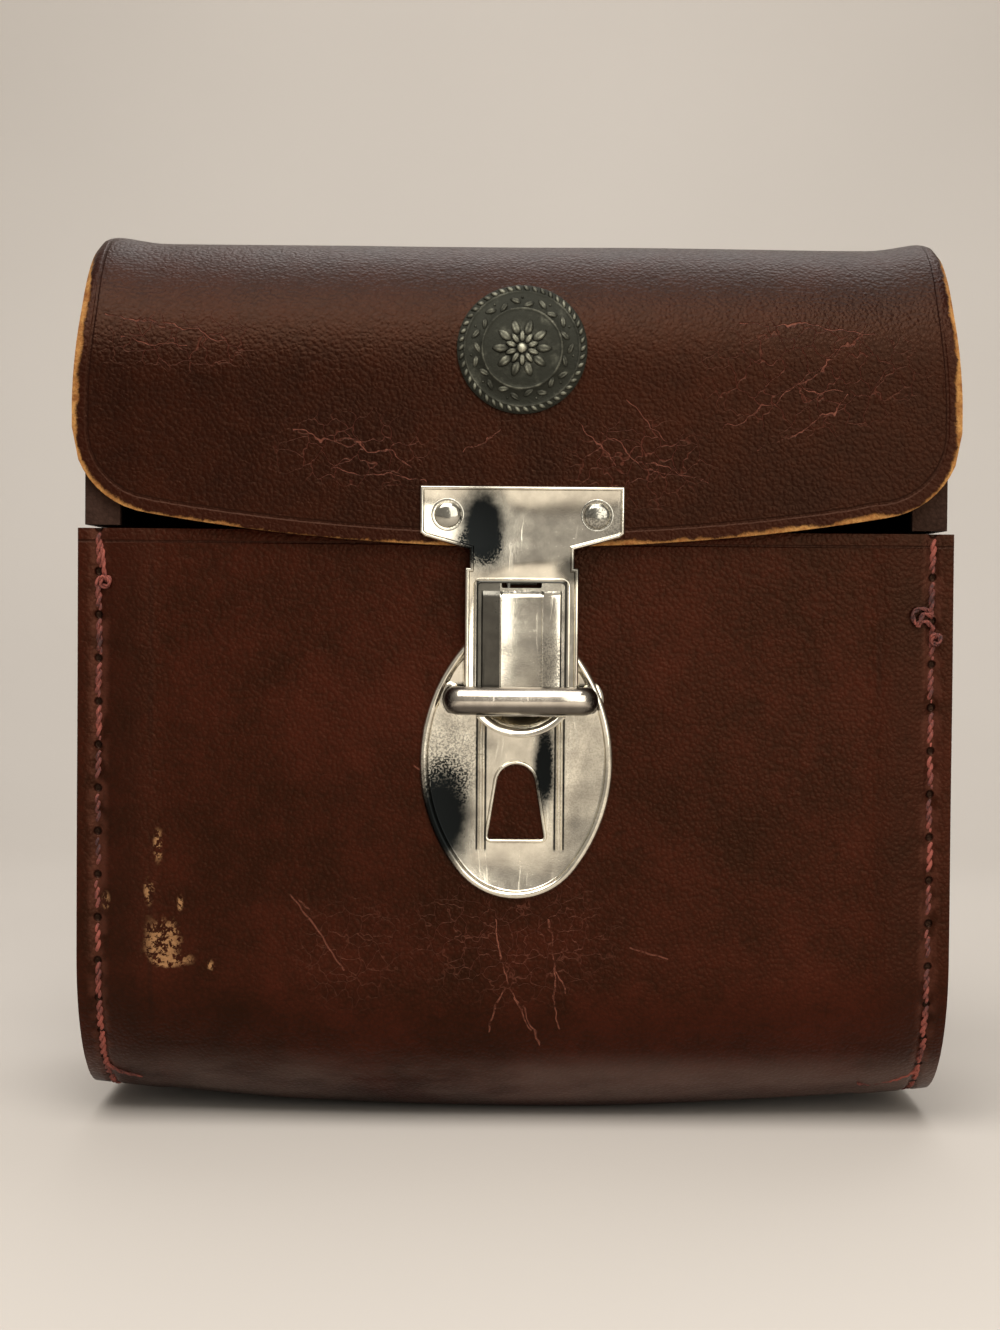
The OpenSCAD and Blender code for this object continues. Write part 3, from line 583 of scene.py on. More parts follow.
def seam_place(side, count):
    """Place of a stitch, count stitches from the floor's middle, forwards or back."""
    end = -1 if count > 0 else 1
    count = abs(count)
    if count <= 1.5:
        out, across, up = Vector((0, 0, -1)), end * count * floor_pitch, THREAD_IN
        z = sagged(seam_x, up)
    elif count <= 7.5:
        turn = (count - 1.5) * bend_pitch / BEND_R
        out = Vector((0, end * math.sin(turn), -math.cos(turn)))
        across = end * floor_half + out.y * (BEND_R - THREAD_IN)
        z = sagged(seam_x, BEND_R + out.z * (BEND_R - THREAD_IN))
    else:
        out, across = Vector((0, end, 0)), end * (half_d + BEND_R - THREAD_IN)
        z = sagged(seam_x, BEND_R) + (count - 7.5) * wall_pitch
    along = out.cross((1, 0, 0))
    lean = Matrix.Rotation(chance.uniform(-0.07, 0.07), 4, "Y")
    longer = Matrix.Scale(chance.uniform(0.95, 1.04), 4, (1, 0, 0))
    place = Matrix((along, -out, along.cross(-out))).transposed().to_4x4()
    place.translation = (side * seam_x + chance.uniform(-0.15, 0.15) * MM, middle_y + across, z)
    return place @ lean @ longer


def front_at(x, z):
    """Where the front face lies at a height, also on the bend below it."""
    drop = min(BEND_R, max(0, BEND_R - z + sagged(x, 0)))
    return front_y + BEND_R - math.sqrt(BEND_R ** 2 - drop ** 2)


thread = Finish("waxed_thread")
dirt = thread.dye.grain(thread.place, 75, 4.0, 0.7)
fibre = thread.dye.grain(thread.place, 2600, 3.0, 0.7, (1, 1, 0.5))
tone = (dirt + (fibre - 0.5) * 0.5).rise(0.34, 0.66).mix(card(52, 20, 15), card(142, 70, 56))
thread_made = thread.set(Base_Color=tone, Roughness=0.75, relief=fibre * 0.12)

loose_ends = {
    "left": [[(-82.9, 0.6, 118.0), (-82.4, -0.5, 115.5), (-82.2, -0.6, 112.6), (-81.9, 0.4, 110.2)],
             [(-82.6, 0.3, 111.2), (-81.2, -0.7, 111.0), (-81.4, -0.6, 109.4), (-82.9, -0.4, 109.7),
              (-82.4, -0.9, 111.3), (-81.3, -0.2, 110.4)],
             [(-83.3, -0.1, 11.5), (-80.6, -0.4, 9.4), (-76.4, 0.1, 8.2)]],
    "right": [[(83.4, 0.3, 104.4), (81.6, -0.9, 106.1), (79.4, -1.1, 105.4), (79.8, -1.0, 103.2),
               (81.9, -1.2, 103.6), (83.6, -0.4, 101.9)],
              [(82.9, -0.6, 104.8), (81.2, -1.5, 104.9), (80.3, -1.2, 102.5)],
              [(83.2, 0.1, 101.3), (84.8, -0.8, 100.6), (84.4, -0.9, 99.1), (83.0, -0.7, 99.6),
               (83.6, -1.1, 101.0), (84.4, 0.2, 100.0)],
              [(83.3, -0.1, 11.2), (79.6, -0.4, 9.0), (74.4, 0, 7.6), (71.6, -0.4, 8.0)]]}
for side, hand in ((-1, "left"), (1, "right")):
    stitch = strand("stitch", [(-STITCH_HALF - 0.3 * MM, 1.5 * MM, 0), (-STITCH_HALF, 0.5 * MM, 0),
                               (-0.6 * STITCH_HALF, 0, 0), (0, -0.08 * MM, 0), (0.6 * STITCH_HALF, 0, 0),
                               (STITCH_HALF, 0.5 * MM, 0), (STITCH_HALF + 0.3 * MM, 1.5 * MM, 0)])
    seam = repeat(stitch, [seam_place(side, count) for count in range(-17, 18)])
    seam.name = f"{hand}_thread"
    weld(seam, *[strand("loose", [(x * MM, front_at(x * MM, z * MM) + y * MM, z * MM) for x, y, z in way],
                        0.3 * MM) for way in loose_ends[hand]])
    smooth(seam, 60)
    fit(seam, "case", "thread", [thread_made], f"seam_thread_{hand}")

# Oval plate: pressed from sheet brass and nickelled, with a rolled rim, two
# guide ribs for the tongue, a window, and a tab lanced back through the leather.
# Its plating is pitted and mottled, and its dark patches are partly tarnish and partly painted dark reflection.
PLATE = 0.8 * MM
END_R = 15 * MM
TAB_HALF = 5.2 * MM
plate_low, plate_high = (Vector(c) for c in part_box("strike_plate"))
plate_half_w = (plate_high.x - plate_low.x) / 2
plate_half_h = (plate_high.z - plate_low.z) / 2
strike = (plate_high + plate_low) / 2
bar_low, bar_high = (Vector(c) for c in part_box("staple"))
latch_x = (bar_low.x + bar_high.x) / 2
bar_z = (bar_low.z + bar_high.z) / 2
bar_half = (bar_high.x - bar_low.x) / 2
end_up = plate_half_h - END_R
side_r = (end_up ** 2 + plate_half_w ** 2 - END_R ** 2) / (2 * (plate_half_w - END_R))
side_back = side_r - plate_half_w


def arc(centre, r, first, last, steps):
    """Points round part of a circle, angles in degrees from +X towards +Z."""
    turns = [math.radians(first + (last - first) * i / steps) for i in range(steps + 1)]
    return [(centre[0] + r * math.cos(t), centre[1] + r * math.sin(t)) for t in turns]


def mirrored(points, x):
    """An outline from its right half, which runs from the bottom to the top."""
    return points + [(2 * x - p[0], p[1]) for p in reversed(points)]


def press(name, outline, y, *steps):
    """Presses a piece from an outline: each step draws its face in, then forwards."""
    piece = start(name, (outline[0][0], y, outline[0][1]))
    for here, there in zip(outline, outline[1:]):
        draw((there[0] - here[0], 0, there[1] - here[1]))
    bpy.ops.mesh.select_all(action="SELECT")
    bpy.ops.mesh.remove_doubles(threshold=0.01 * MM)
    bpy.ops.mesh.edge_face_add()
    bpy.ops.mesh.select_mode(type="FACE")
    bpy.ops.mesh.select_all(action="SELECT")
    shape = bmesh.from_edit_mesh(piece.data)
    shape.normal_update()
    if shape.faces[:][0].normal.y > 0:
        bpy.ops.mesh.flip_normals()
    for inward, forward in steps:
        if inward:
            bpy.ops.mesh.inset(thickness=inward * MM, depth=forward * MM)
        else:
            draw((0, -forward * MM, 0))
    return piece


def cut_out(piece, cutter):
    """Cuts a hole in the shape of another piece, which goes."""
    made = piece.modifiers.new("hole", "BOOLEAN")
    made.operation = "DIFFERENCE"
    made.solver = "EXACT"
    made.object = cutter
    bpy.ops.object.select_all(action="DESELECT")
    bpy.context.view_layer.objects.active = piece
    bpy.ops.object.modifier_apply(modifier=made.name)
    bpy.data.objects.remove(cutter)


def rail(name, section, z_low, z_high):
    """A straight bar with a section in X and Y, standing up along Z."""
    piece = start(name, (section[0][0], section[0][1], z_low))
    for here, there in zip(section, section[1:]):
        draw((there[0] - here[0], there[1] - here[1], 0))
    bpy.ops.mesh.select_all(action="SELECT")
    bpy.ops.mesh.edge_face_add()
    draw((0, 0, z_high - z_low), 2)
    turn_out(piece, ((section[0][0] + section[-1][0]) / 2, sum(p[1] for p in section)
                     / len(section), (z_low + z_high) / 2))
    return piece


def tombstone(grow):
    """Outline of the plate's window, drawn out by grow, from its foot over its top."""
    top = (strike.x, strike.z - 4.5 * MM)
    right = ([(strike.x, strike.z - 15.6 * MM - grow)]
             + arc((strike.x + 4.9 * MM, strike.z - 14.9 * MM), 0.7 * MM + grow, -90, -7, 4)
             + arc(top, 3.9 * MM + grow, 8, 90, 12))
    return mirrored(right, strike.x)


def nickel(finish, tarnish_and_painted_light, mottle, bright=(250, 243, 224), dark=(24, 26, 26)):
    """Old nickel plate: warm and bright, with mottling, pits and fine scratches, darkened where its second argument
    says: real tarnish, and in some finishes painted shade and painted reflections.
    """
    dye, place = finish.dye, finish.place
    speck = dye.grain(place, 2600, 2.0, 0.6)
    cloud = dye.grain(place, 210, 4.0, 0.6)
    scratch = dye.grain(dye.shove(place, 60, 2 * MM), 900, 2.0, 0.5, (1, 1, 0.05))
    pit = (speck * 0.7 + cloud * 0.3).rise(0.66, 0.72)
    dull = (tarnish_and_painted_light.sum("MAXIMUM", tarnish_and_painted_light, mottle * speck.rise(0.42, 0.6) * 0.8)
            + pit * 0.5).sum("MINIMUM", tarnish_and_painted_light + pit * 0.5 + mottle * speck.rise(0.42, 0.6) * 0.6, 1.0)
    plate = cloud.rise(0.3, 0.7).mix(card(*(int(c * 0.86) for c in bright)), card(*bright))
    tone = dull.mix(plate, card(*dark))
    shine = 0.13 + dull * 0.2 + (cloud - 0.5) * 0.12 + scratch.rise(0.6, 0.7) * 0.1
    wave = dye.grain(place, 85, 1.0, 0.4)
    relief = wave * 0.16 - pit * 0.03 - scratch.rise(0.62, 0.7) * 0.006 + (speck - 0.5) * 0.006
    return finish.set(Base_Color=tone, Metallic=1.0, Roughness=shine, relief=relief)


plate_nickel = Finish("plate_nickel")
# Dark patches on the plate: partly tarnish, partly painted dark reflection.
tarnish_and_painted_light = plate_nickel.dye.sum("MAXIMUM", plate_nickel.blot(-14.4, 63.5, 7.5, 12.5, 0.45),
                             plate_nickel.blot(6, 74, 2.4, 10, 0.5))
# Painted shade: a dark line beside the foot of each guide rib.
off_rail = ((plate_nickel.x - latch_x).size() - 7.8 * MM).size()
grime_and_shade = (off_rail.rise(1.25 * MM, 0.95 * MM) * off_rail.rise(0.6 * MM, 0.8 * MM)
         * plate_nickel.z.rise(strike.z - 18.4 * MM, strike.z - 17.4 * MM))
tarnish_and_painted_light = plate_nickel.dye.sum("MAXIMUM", tarnish_and_painted_light, grime_and_shade * 0.96)
mottle = plate_nickel.blot(-12.5, 76, 7, 9) + plate_nickel.blot(12, 72, 9, 20) * 0.3
plate_nickel_made = nickel(plate_nickel, tarnish_and_painted_light, mottle)

meet = math.degrees(math.atan2(end_up, side_back))
strike_right = (arc((strike.x, strike.z - end_up), END_R, -90, -meet, 14)
                + arc((strike.x - side_back, strike.z), side_r, -meet, meet, 44)[1:]
                + arc((strike.x, strike.z + end_up), END_R, meet, 90, 14)[1:])
oval_plate = press("oval_plate", mirrored(strike_right, strike.x), front_y,
                   (0, 0.35), (0.12, 0.5), (0.22, 0.42), (0.3, 0.27), (0.3, 0.06), (0.28, -0.06),
                   (0.28, -0.24), (0.2, -0.3), (0.12, -0.17), (0.2, -0.03))
turn_out(oval_plate, (strike.x, front_y - 0.2 * MM, strike.z))
ribs = []
for side in (-1, 1):
    rib_x = latch_x + side * 7.8 * MM
    face = front_y - PLATE
    section = [(rib_x - 0.85 * MM, face + 0.1 * MM), (rib_x - 0.8 * MM, face - 0.1 * MM),
               (rib_x - 0.6 * MM, face - 0.42 * MM), (rib_x - 0.4 * MM, face - 0.45 * MM),
               (rib_x - 0.12 * MM, face - 0.12 * MM), (rib_x + 0.12 * MM, face - 0.12 * MM),
               (rib_x + 0.4 * MM, face - 0.45 * MM), (rib_x + 0.6 * MM, face - 0.42 * MM),
               (rib_x + 0.8 * MM, face - 0.1 * MM), (rib_x + 0.85 * MM, face + 0.1 * MM)]
    ribs.append(rail("rib", section, strike.z - 17.7 * MM, bar_z + 2.6 * MM))
fold = press("window_fold", tombstone(0.75 * MM), front_y - 0.7 * MM,
             (0, 0.15), (0.15, 0.2), (0.2, 0.08), (0.2, -0.06), (0.16, -0.2), (0.03, -0.05))
turn_out(fold, (strike.x, front_y - PLATE, strike.z - 8 * MM))
collars = []
for side in (-1, 1):
    spot = (latch_x + side * (bar_half - 1.3 * MM), bar_z)
    collar = press("collar", [(spot[0] + (x - spot[0]) * 0.68, z) for x, z in
                              arc(spot, 3.6 * MM, 0, 345, 23)], front_y - 0.7 * MM,
                   (0, 0.05), (0.25, 0.15), (0.3, 0.14), (0.3, 0.02), (0.3, -0.1), (0.3, -0.16))
    turn_out(collar, (spot[0], front_y - 0.75 * MM, spot[1]))
    collars.append(collar)
for pierced in (oval_plate, fold):
    window = press("window", tombstone(0), front_y + MM, (0, 4))
    turn_out(window, (strike.x, front_y, strike.z - 9 * MM))
    cut_out(pierced, window)
tab = rail("tab", [(strike.x - TAB_HALF, front_y + LEATHER), (strike.x - TAB_HALF, front_y - PLATE),
                   (strike.x + TAB_HALF, front_y - PLATE), (strike.x + TAB_HALF, front_y + LEATHER)],
           strike.z - 16.4 * MM, strike.z - 15.6 * MM)
weld(oval_plate, fold, *ribs, *collars, tab)
harden(oval_plate, weld={"merge_threshold": 0.002 * MM})
smooth(oval_plate, 50)
fit(oval_plate, "case", "nickel", [plate_nickel_made], "strike_plate")

# Staple: half round nickelled bar, bent square at both ends. Its legs go through
# the plate and the leather, and are clinched over a steel strip inside.
BAR_OUT = 5.0 * MM
BAR_T = 2.6 * MM
LEG_BEND = 1.6 * MM
leg_end = bar_high.y
bar_half_h = (bar_high.z - bar_low.z) / 2
leg_face = latch_x - bar_half + BAR_T

staple_nickel = Finish("staple_nickel")
# Painted light on the staple: its bent ends are darkened as painted shade, all but a narrow band along its middle is
# darkened to leave a painted highlight there, and its plating colour is set darker than the plate's as painted shade.
ends = (staple_nickel.x - latch_x).size().rise(11.6 * MM, 14.4 * MM)
off_painted_highlight = (staple_nickel.z - bar_z - 0.5 * MM).size().rise(0.7 * MM, 1.9 * MM)
tarnish_and_painted_light = ends.sum("MAXIMUM", ends * 0.85, off_painted_highlight * 0.8)
staple_nickel_made = nickel(staple_nickel, tarnish_and_painted_light, ends * 0.3, (226, 217, 202), (40, 32, 30))
staple = start("staple_bar", (leg_face, leg_end, bar_z - 0.9 * bar_half_h))
section = [(0, -0.9)] + [(math.cos(math.radians(t)), math.sin(math.radians(t)))
                         for t in range(-82, 83, 12)] + [(0, 0.9)]
for (out, up), (next_out, next_up) in zip(section, section[1:]):
    draw(((out - next_out) * BAR_T, 0, (next_up - up) * bar_half_h))
bpy.ops.mesh.select_all(action="SELECT")
bpy.ops.mesh.edge_face_add()
leg_turn_y = front_y - BAR_OUT + LEG_BEND
draw((0, leg_turn_y - leg_end, 0), 3)
bend((leg_face + LEG_BEND, leg_turn_y, bar_z), 90, 10, (0, 0, 1))
draw((2 * (bar_half - BAR_T - LEG_BEND), 0, 0), 6)
bend((2 * latch_x - leg_face - LEG_BEND, leg_turn_y, bar_z), 90, 10, (0, 0, 1))
draw((0, leg_end - leg_turn_y, 0), 3)
turn_out(staple, (latch_x, leg_turn_y, bar_z))
smooth(staple, 60)
fit(staple, "case", "nickel", [staple_nickel_made], "staple")

# Felt linings: thin grey-brown felt, glued to the inside of the sheet and of both
# side panels. It swells over the steel strip behind the staple and over the burrs.
FELT = 1.2 * MM
FELT_SHORT = 5 * MM
loop_x, loop_low, loop_high = 46 * MM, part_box("strap_loop_left")[0][2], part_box("strap_loop_left")[1][2]
LOOP_FOOT = 9.5 * MM
loop_rivet_spots = [(side * loop_x, z) for side in (-1, 1)
                    for z in (loop_low + LOOP_FOOT / 2, loop_high - LOOP_FOOT / 2)]
strip_low, strip_high = (Vector(c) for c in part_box("staple_backing"))
strip_x, strip_z = (strip_low.x + strip_high.x) / 2, (strip_low.z + strip_high.z) / 2
felt_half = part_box("body_lining")[1][0]
felt_top = rim_z - FELT_SHORT

felt = Finish("felt")
hairs = felt.dye.grain(felt.dye.shove(felt.place, 900, 0.5 * MM), 2200, 3.0, 0.7)
stain = felt.dye.grain(felt.place, 26, 4.0, 0.6)
tone = (hairs * 0.6 + stain * 0.9 - 0.3).rise(0.15, 0.8).mix(card(60, 46, 37), card(110, 92, 76))
felt_made = felt.set(Base_Color=tone, Roughness=0.95, relief=hairs * 0.35,
                     Sheen_Weight=0.4, Sheen_Roughness=0.5)


def swell(place):
    """How far the felt stands off the leather over the strip and the burrs."""
    if place.y < middle_y:
        reach = max(abs(place.x - strip_x) - (strip_high.x - strip_x),
                    abs(place.z - strip_z) - (strip_high.z - strip_z))
        return 1.9 * MM * ease(1 - reach / (5 * MM))
    return 1.7 * MM * max(ease(1.5 - math.hypot(place.x - x, place.z - z) / (5 * MM))
                          for x, z in loop_rivet_spots)


def line_body(place, normal):
    """Lays the felt on the sheet: sag, swells and the slight waves of a glued lining."""
    wave = noise.noise(place * 70) * 0.25 * MM
    place = place - normal * (0.45 * MM + swell(place) + wave)
    place.z = sag_down(place.x, place.z)
    return place


felt_back = back_y - LEATHER
body_felt = start_row("body_felt", [felt_half * (i / 22 - 1) for i in range(45)], felt_back, felt_top)
draw((0, 0, BEND_R - felt_top), 30)
bend((0, middle_y + floor_half, BEND_R), -90, 12)
draw((0, -2 * floor_half, 0), 8)
bend((0, middle_y - floor_half, BEND_R), -90, 12)
draw((0, 0, felt_top - BEND_R), 36)
turn_out(body_felt, (0, middle_y, rim_z / 2))
mould(body_felt, line_body)
harden(body_felt, solidify={"thickness": FELT, "offset": -1},
       bevel={"width": 0.3 * MM, "segments": 2, "angle_limit": math.radians(50)})
smooth(body_felt)
fit(body_felt, "case", "felt", [felt_made], "body_lining")


def fill_panel(piece, x, thickness, middle):
    """Fills a drawn side outline as a flat sheet and gives it its thickness."""
    bpy.ops.mesh.select_all(action="SELECT")
    bpy.ops.mesh.edge_face_add()
    for inward in (1, 2, 3, 4):
        bpy.ops.mesh.inset(thickness=inward * MM, depth=0)
    turn_out(piece, middle)
    harden(piece, solidify={"thickness": thickness, "offset": -1},
           bevel={"width": 0.3 * MM, "segments": 2, "angle_limit": math.radians(50)})
    smooth(piece)


for side, hand in ((-1, "left"), (1, "right")):
    felt_x = side * (panel_x - PANEL - 0.1 * MM)
    gap = LEATHER + PANEL + FELT * 0.4
    side_felt = start(f"{hand}_side_felt", (felt_x, back_y - gap, felt_top))
    draw((0, 0, BEND_R - felt_top), 8)
    bend((0, middle_y + floor_half, BEND_R), -90, 12)
    draw((0, -2 * floor_half, 0), 4)
    bend((0, middle_y - floor_half, BEND_R), -90, 12)
    draw((0, 0, felt_top - BEND_R), 8)
    fill_panel(side_felt, felt_x, FELT * 0.8, (0, middle_y, rim_z / 2))
    mould(side_felt, lambda place, normal: Vector((place.x, place.y, sag_down(place.x, place.z))))
    fit(side_felt, "case", "felt", [felt_made], f"side_lining_{hand}")

# Floor pad: a stuffed felt pad that the glasses stand on. Its bottom follows the
# bends and the sagged floor, its top is crowned, and its edge is rounded and drawn in.
pad_low, pad_high = (Vector(c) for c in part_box("base_pad"))
pad_half = pad_high.x - 0.6 * MM
pad_top = pad_high.z
pad_felt = Finish("pad_felt")
hairs = pad_felt.dye.grain(pad_felt.dye.shove(pad_felt.place, 700, 0.6 * MM), 1900, 3.0, 0.7)
print_marks = pad_felt.dye.grain(pad_felt.place, 40, 4.0, 0.6)
tone = (hairs * 0.5 + print_marks - 0.3).rise(0.15, 0.8).mix(card(64, 49, 39), card(116, 98, 82))
pad_felt_made = pad_felt.set(Base_Color=tone, Roughness=0.95, relief=hairs * 0.4,
                             Sheen_Weight=0.4, Sheen_Roughness=0.5)
pad_r = BEND_R - LEATHER - FELT - 0.6 * MM
pad_y = half_d + math.sqrt(pad_r ** 2 - (BEND_R - pad_top + 3 * MM) ** 2) - 0.6 * MM
bpy.ops.object.select_all(action="DESELECT")
bpy.ops.mesh.primitive_cube_add(size=2, location=(0, 0, 0))
floor_pad = bpy.context.object
floor_pad.name = "floor_pad"
bpy.ops.object.mode_set(mode="EDIT")
bpy.ops.mesh.subdivide(number_cuts=26)
bpy.ops.object.mode_set(mode="OBJECT")


def stuff_pad(place, normal):
    """Turns the block into the pad: curved underneath, crowned on top, soft at its edge."""
    x, y = place.x * pad_half, place.y * pad_y
    rim = min(1, (1 - abs(place.x)) * pad_half / (7 * MM)) * min(1, (1 - abs(place.y)) * pad_y / (7 * MM))
    soft = math.sqrt(max(0, 1 - (1 - rim) ** 2))
    floor = BEND_R - pad_r if abs(y) < half_d else BEND_R - math.sqrt(pad_r ** 2 - (abs(y) - half_d) ** 2)
    tuck = 0.035 * (1 - soft)
    top = pad_top - 3.2 * MM + soft * 2.4 * MM + noise.noise(Vector((x * 45, y * 45, 1))) * 0.6 * MM
    z = floor + (place.z + 1) / 2 * (top - floor)
    return Vector((x * (1 - tuck * abs(place.z)), middle_y + y * (1 - tuck * abs(place.z)),
                   sagged(x, z) + WORN_FLAT))


mould(floor_pad, stuff_pad)
harden(floor_pad, subsurf={"levels": 1, "render_levels": 1})
smooth(floor_pad, 80)
fit(floor_pad, "case", "pad_felt", [pad_felt_made], "base_pad")

# Strap loops: two strips of leather on the back, raised in the middle for a
# strap or belt. A domed nickelled rivet at each end goes through to a burr.
LOOP_T = 2.2 * MM
LOOP_GAP = 5.5 * MM
LOOP_HALF = 9 * MM
loop_leather = Finish("loop_leather")
tone, shine, relief = grain_side(loop_leather, (34, 11, 7), (70, 31, 22), 0.38)
loop_leather_made = loop_leather.set(Base_Color=tone, Roughness=shine, relief=relief,
                                     Specular_IOR_Level=0.2,
    Specular_Tint=WAX_GLARE)


def shape_loop(place, normal):
    """Arches a flat strip over its gap and rounds both of its ends."""
    end = min(place.z - loop_low, loop_high - place.z)
    place.y += (LOOP_GAP - 0.1 * MM) * ease((end - LOOP_FOOT + 1.5 * MM) / (8.5 * MM))
    nose = max(0, 6 * MM - end) / (6 * MM)
    place.x = centre_x + (place.x - centre_x) * math.sqrt(1 - 0.8 * nose * nose)
    return place


for side, hand in ((-1, "left"), (1, "right")):
    centre_x = side * loop_x
    strap_loop = start_row(f"{hand}_strap_loop", [centre_x + LOOP_HALF * (i / 6 - 1) for i in range(13)],
                           back_y + LOOP_T, loop_low)
    draw((0, 0, loop_high - loop_low), 60)
    turn_out(strap_loop, (centre_x, middle_y, strike.z))
    mould(strap_loop, shape_loop)
    harden(strap_loop, solidify={"thickness": LOOP_T - 0.05 * MM, "offset": -1, "material_offset_rim": 1},
           bevel={"width": 0.4 * MM, "segments": 3, "angle_limit": math.radians(50)})
    smooth(strap_loop)
    fit(strap_loop, "case", "loop_leather", [loop_leather_made, dyed_edge], f"strap_loop_{hand}")

def turned(name, centre, profile, steps=32):
    """Turns a profile (radius, distance in front of centre) round the Y axis."""
    piece = start(name, (centre[0] + profile[0][0], centre[1] - profile[0][1], centre[2]))
    for here, there in zip(profile, profile[1:]):
        draw((there[0] - here[0], here[1] - there[1], 0))
    bpy.ops.mesh.select_all(action="SELECT")
    bend(centre, 360, steps, (0, 1, 0))
    turn_out(piece, (centre[0], centre[1], centre[2]))
    smooth(piece, 40)
    return piece


loop_nickel = Finish("loop_nickel")
loop_nickel_made = nickel(loop_nickel, loop_nickel.dye.grain(loop_nickel.place, 200, 3.0).rise(0.52, 0.7),
                          loop_nickel.dye.grain(loop_nickel.place, 90, 3.0).rise(0.45, 0.6))
heads = []
for x, z in loop_rivet_spots:
    profile = [(0, 4.2), (1.5, 4.1), (2.0, 3.6), (1.4, 3.5), (1.4, -2.1), (3.1, -2.1), (3.25, -2.3),
               (3.1, -2.6), (2.7, -2.95), (2.0, -3.2), (1.1, -3.33), (0, -3.36)]
    heads.append(turned("strap_rivets", (x, back_y, z), [(r * MM, h * MM) for r, h in profile]))
weld(*heads)
fit(heads[0], "case", "nickel", [loop_nickel_made], "loop_rivets")

# Lid sheet: one piece of the same leather for the back, the top and the front
# flap. The flap is cut to a bow with round corners; its raw tan edge shows
# through the worn dye, and the top has sunk a little between the end panels.
LID_BACK_R = 20 * MM
LID_FRONT_R = 30 * MM
FLAP_BOW_R = 435 * MM
FLAP_CORNER_R = 17 * MM
lid_low, lid_high = (Vector(c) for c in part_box("lid_sheet"))
lid_x = lid_high.x
lid_top = lid_high.z
flap_y = lid_low.y
flap_z = lid_low.z
lid_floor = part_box("lid_end_left")[0][2]
flap_corner_x = lid_x - FLAP_CORNER_R
flap_reach = FLAP_BOW_R - FLAP_CORNER_R
flap_corner_z = flap_z + FLAP_BOW_R - math.sqrt(flap_reach ** 2 - flap_corner_x ** 2)
touch_x = flap_corner_x * FLAP_BOW_R / flap_reach


def flap_edge(x):
    """Height of the flap's cut edge at x."""
    x = abs(x)
    if x <= touch_x:
        return flap_z + FLAP_BOW_R - math.sqrt(FLAP_BOW_R ** 2 - x * x)
    return flap_corner_z - math.sqrt(max(0, FLAP_CORNER_R ** 2 - (x - flap_corner_x) ** 2))


def from_flap_edge(place):
    """Distance of a point of the lid from the nearest cut edge."""
    x = abs(place.x)
    if place.y > middle_y:
        return min(lid_x - x, place.z - lid_floor)
    if place.z < flap_corner_z and x > flap_corner_x:
        return FLAP_CORNER_R - math.hypot(x - flap_corner_x, place.z - flap_corner_z)
    return min(lid_x - x, place.z - flap_edge(x))


corner_turns = [7.5 * i for i in range(10)] + [90]
flap_side = [flap_corner_x + FLAP_CORNER_R * math.sin(math.radians(a)) for a in corner_turns]
flap_middle = [-flap_corner_x + i * flap_corner_x / 14 for i in range(29)][1:-1]
stations = [-s for s in reversed(flap_side)] + flap_middle + flap_side
flap_start_z = lid_top - LID_FRONT_R
front_bend_y = flap_y + LID_FRONT_R
back_bend_y = back_y - LID_BACK_R

lid_sheet = start_row("lid_leather", stations, back_y, lid_floor)
draw((0, 0, lid_top - LID_BACK_R - lid_floor), 14)
bend((0, back_bend_y, lid_top - LID_BACK_R), 90, 12)
draw((0, front_bend_y - back_bend_y, 0), 14)
bend((0, front_bend_y, flap_start_z), 90, 18)
draw((0, 0, flap_z - flap_start_z), 24)
turn_out(lid_sheet, (0, middle_y, (lid_top + lid_floor) / 2))


def cut_flap(place, normal):
    """Cuts the flap's outline by drawing its rows down to the edge, closer near it."""
    if place.y < middle_y and place.z < flap_start_z:
        share = (flap_start_z - place.z) / (flap_start_z - flap_z)
        share = 1 - max(0, 1 - share) ** 1.35
        place.z = flap_start_z - share * (flap_start_z - flap_edge(place.x))
    return place


def age_lid(place, normal):
    """Ends that curl up, a top that has sunk, a flap that flares, and a ragged cut edge."""
    across = abs(place.x) / lid_x
    sink = ease((lid_x - abs(place.x)) / (14 * MM)) * 1.5 * MM
    on_top = ease((place.z - lid_top + 26 * MM) / (20 * MM))
    wave = noise.noise(Vector((place.x * 22, place.y * 22, 0.3))) * 0.5 * MM
    narrow = 1.5 * MM * across * ease((place.z - flap_start_z + 8 * MM) / (24 * MM))
    dent = noise.noise(place * 30 + Vector((3, 5, 7))) * 0.3 * MM
    place = place + normal * dent
    corner = min(1, max(0, 1 - (lid_x - abs(place.x)) / (5 * MM)))
    place.z -= on_top * (sink - min(0, wave) + 2.4 * MM * (1 - math.sqrt(1 - corner * corner)))
    place.x -= math.copysign(narrow, place.x)
    return place


mould(lid_sheet, cut_flap)
mark(lid_sheet, "edge", lambda place: from_flap_edge(place) / MM)
mould(lid_sheet, age_lid)

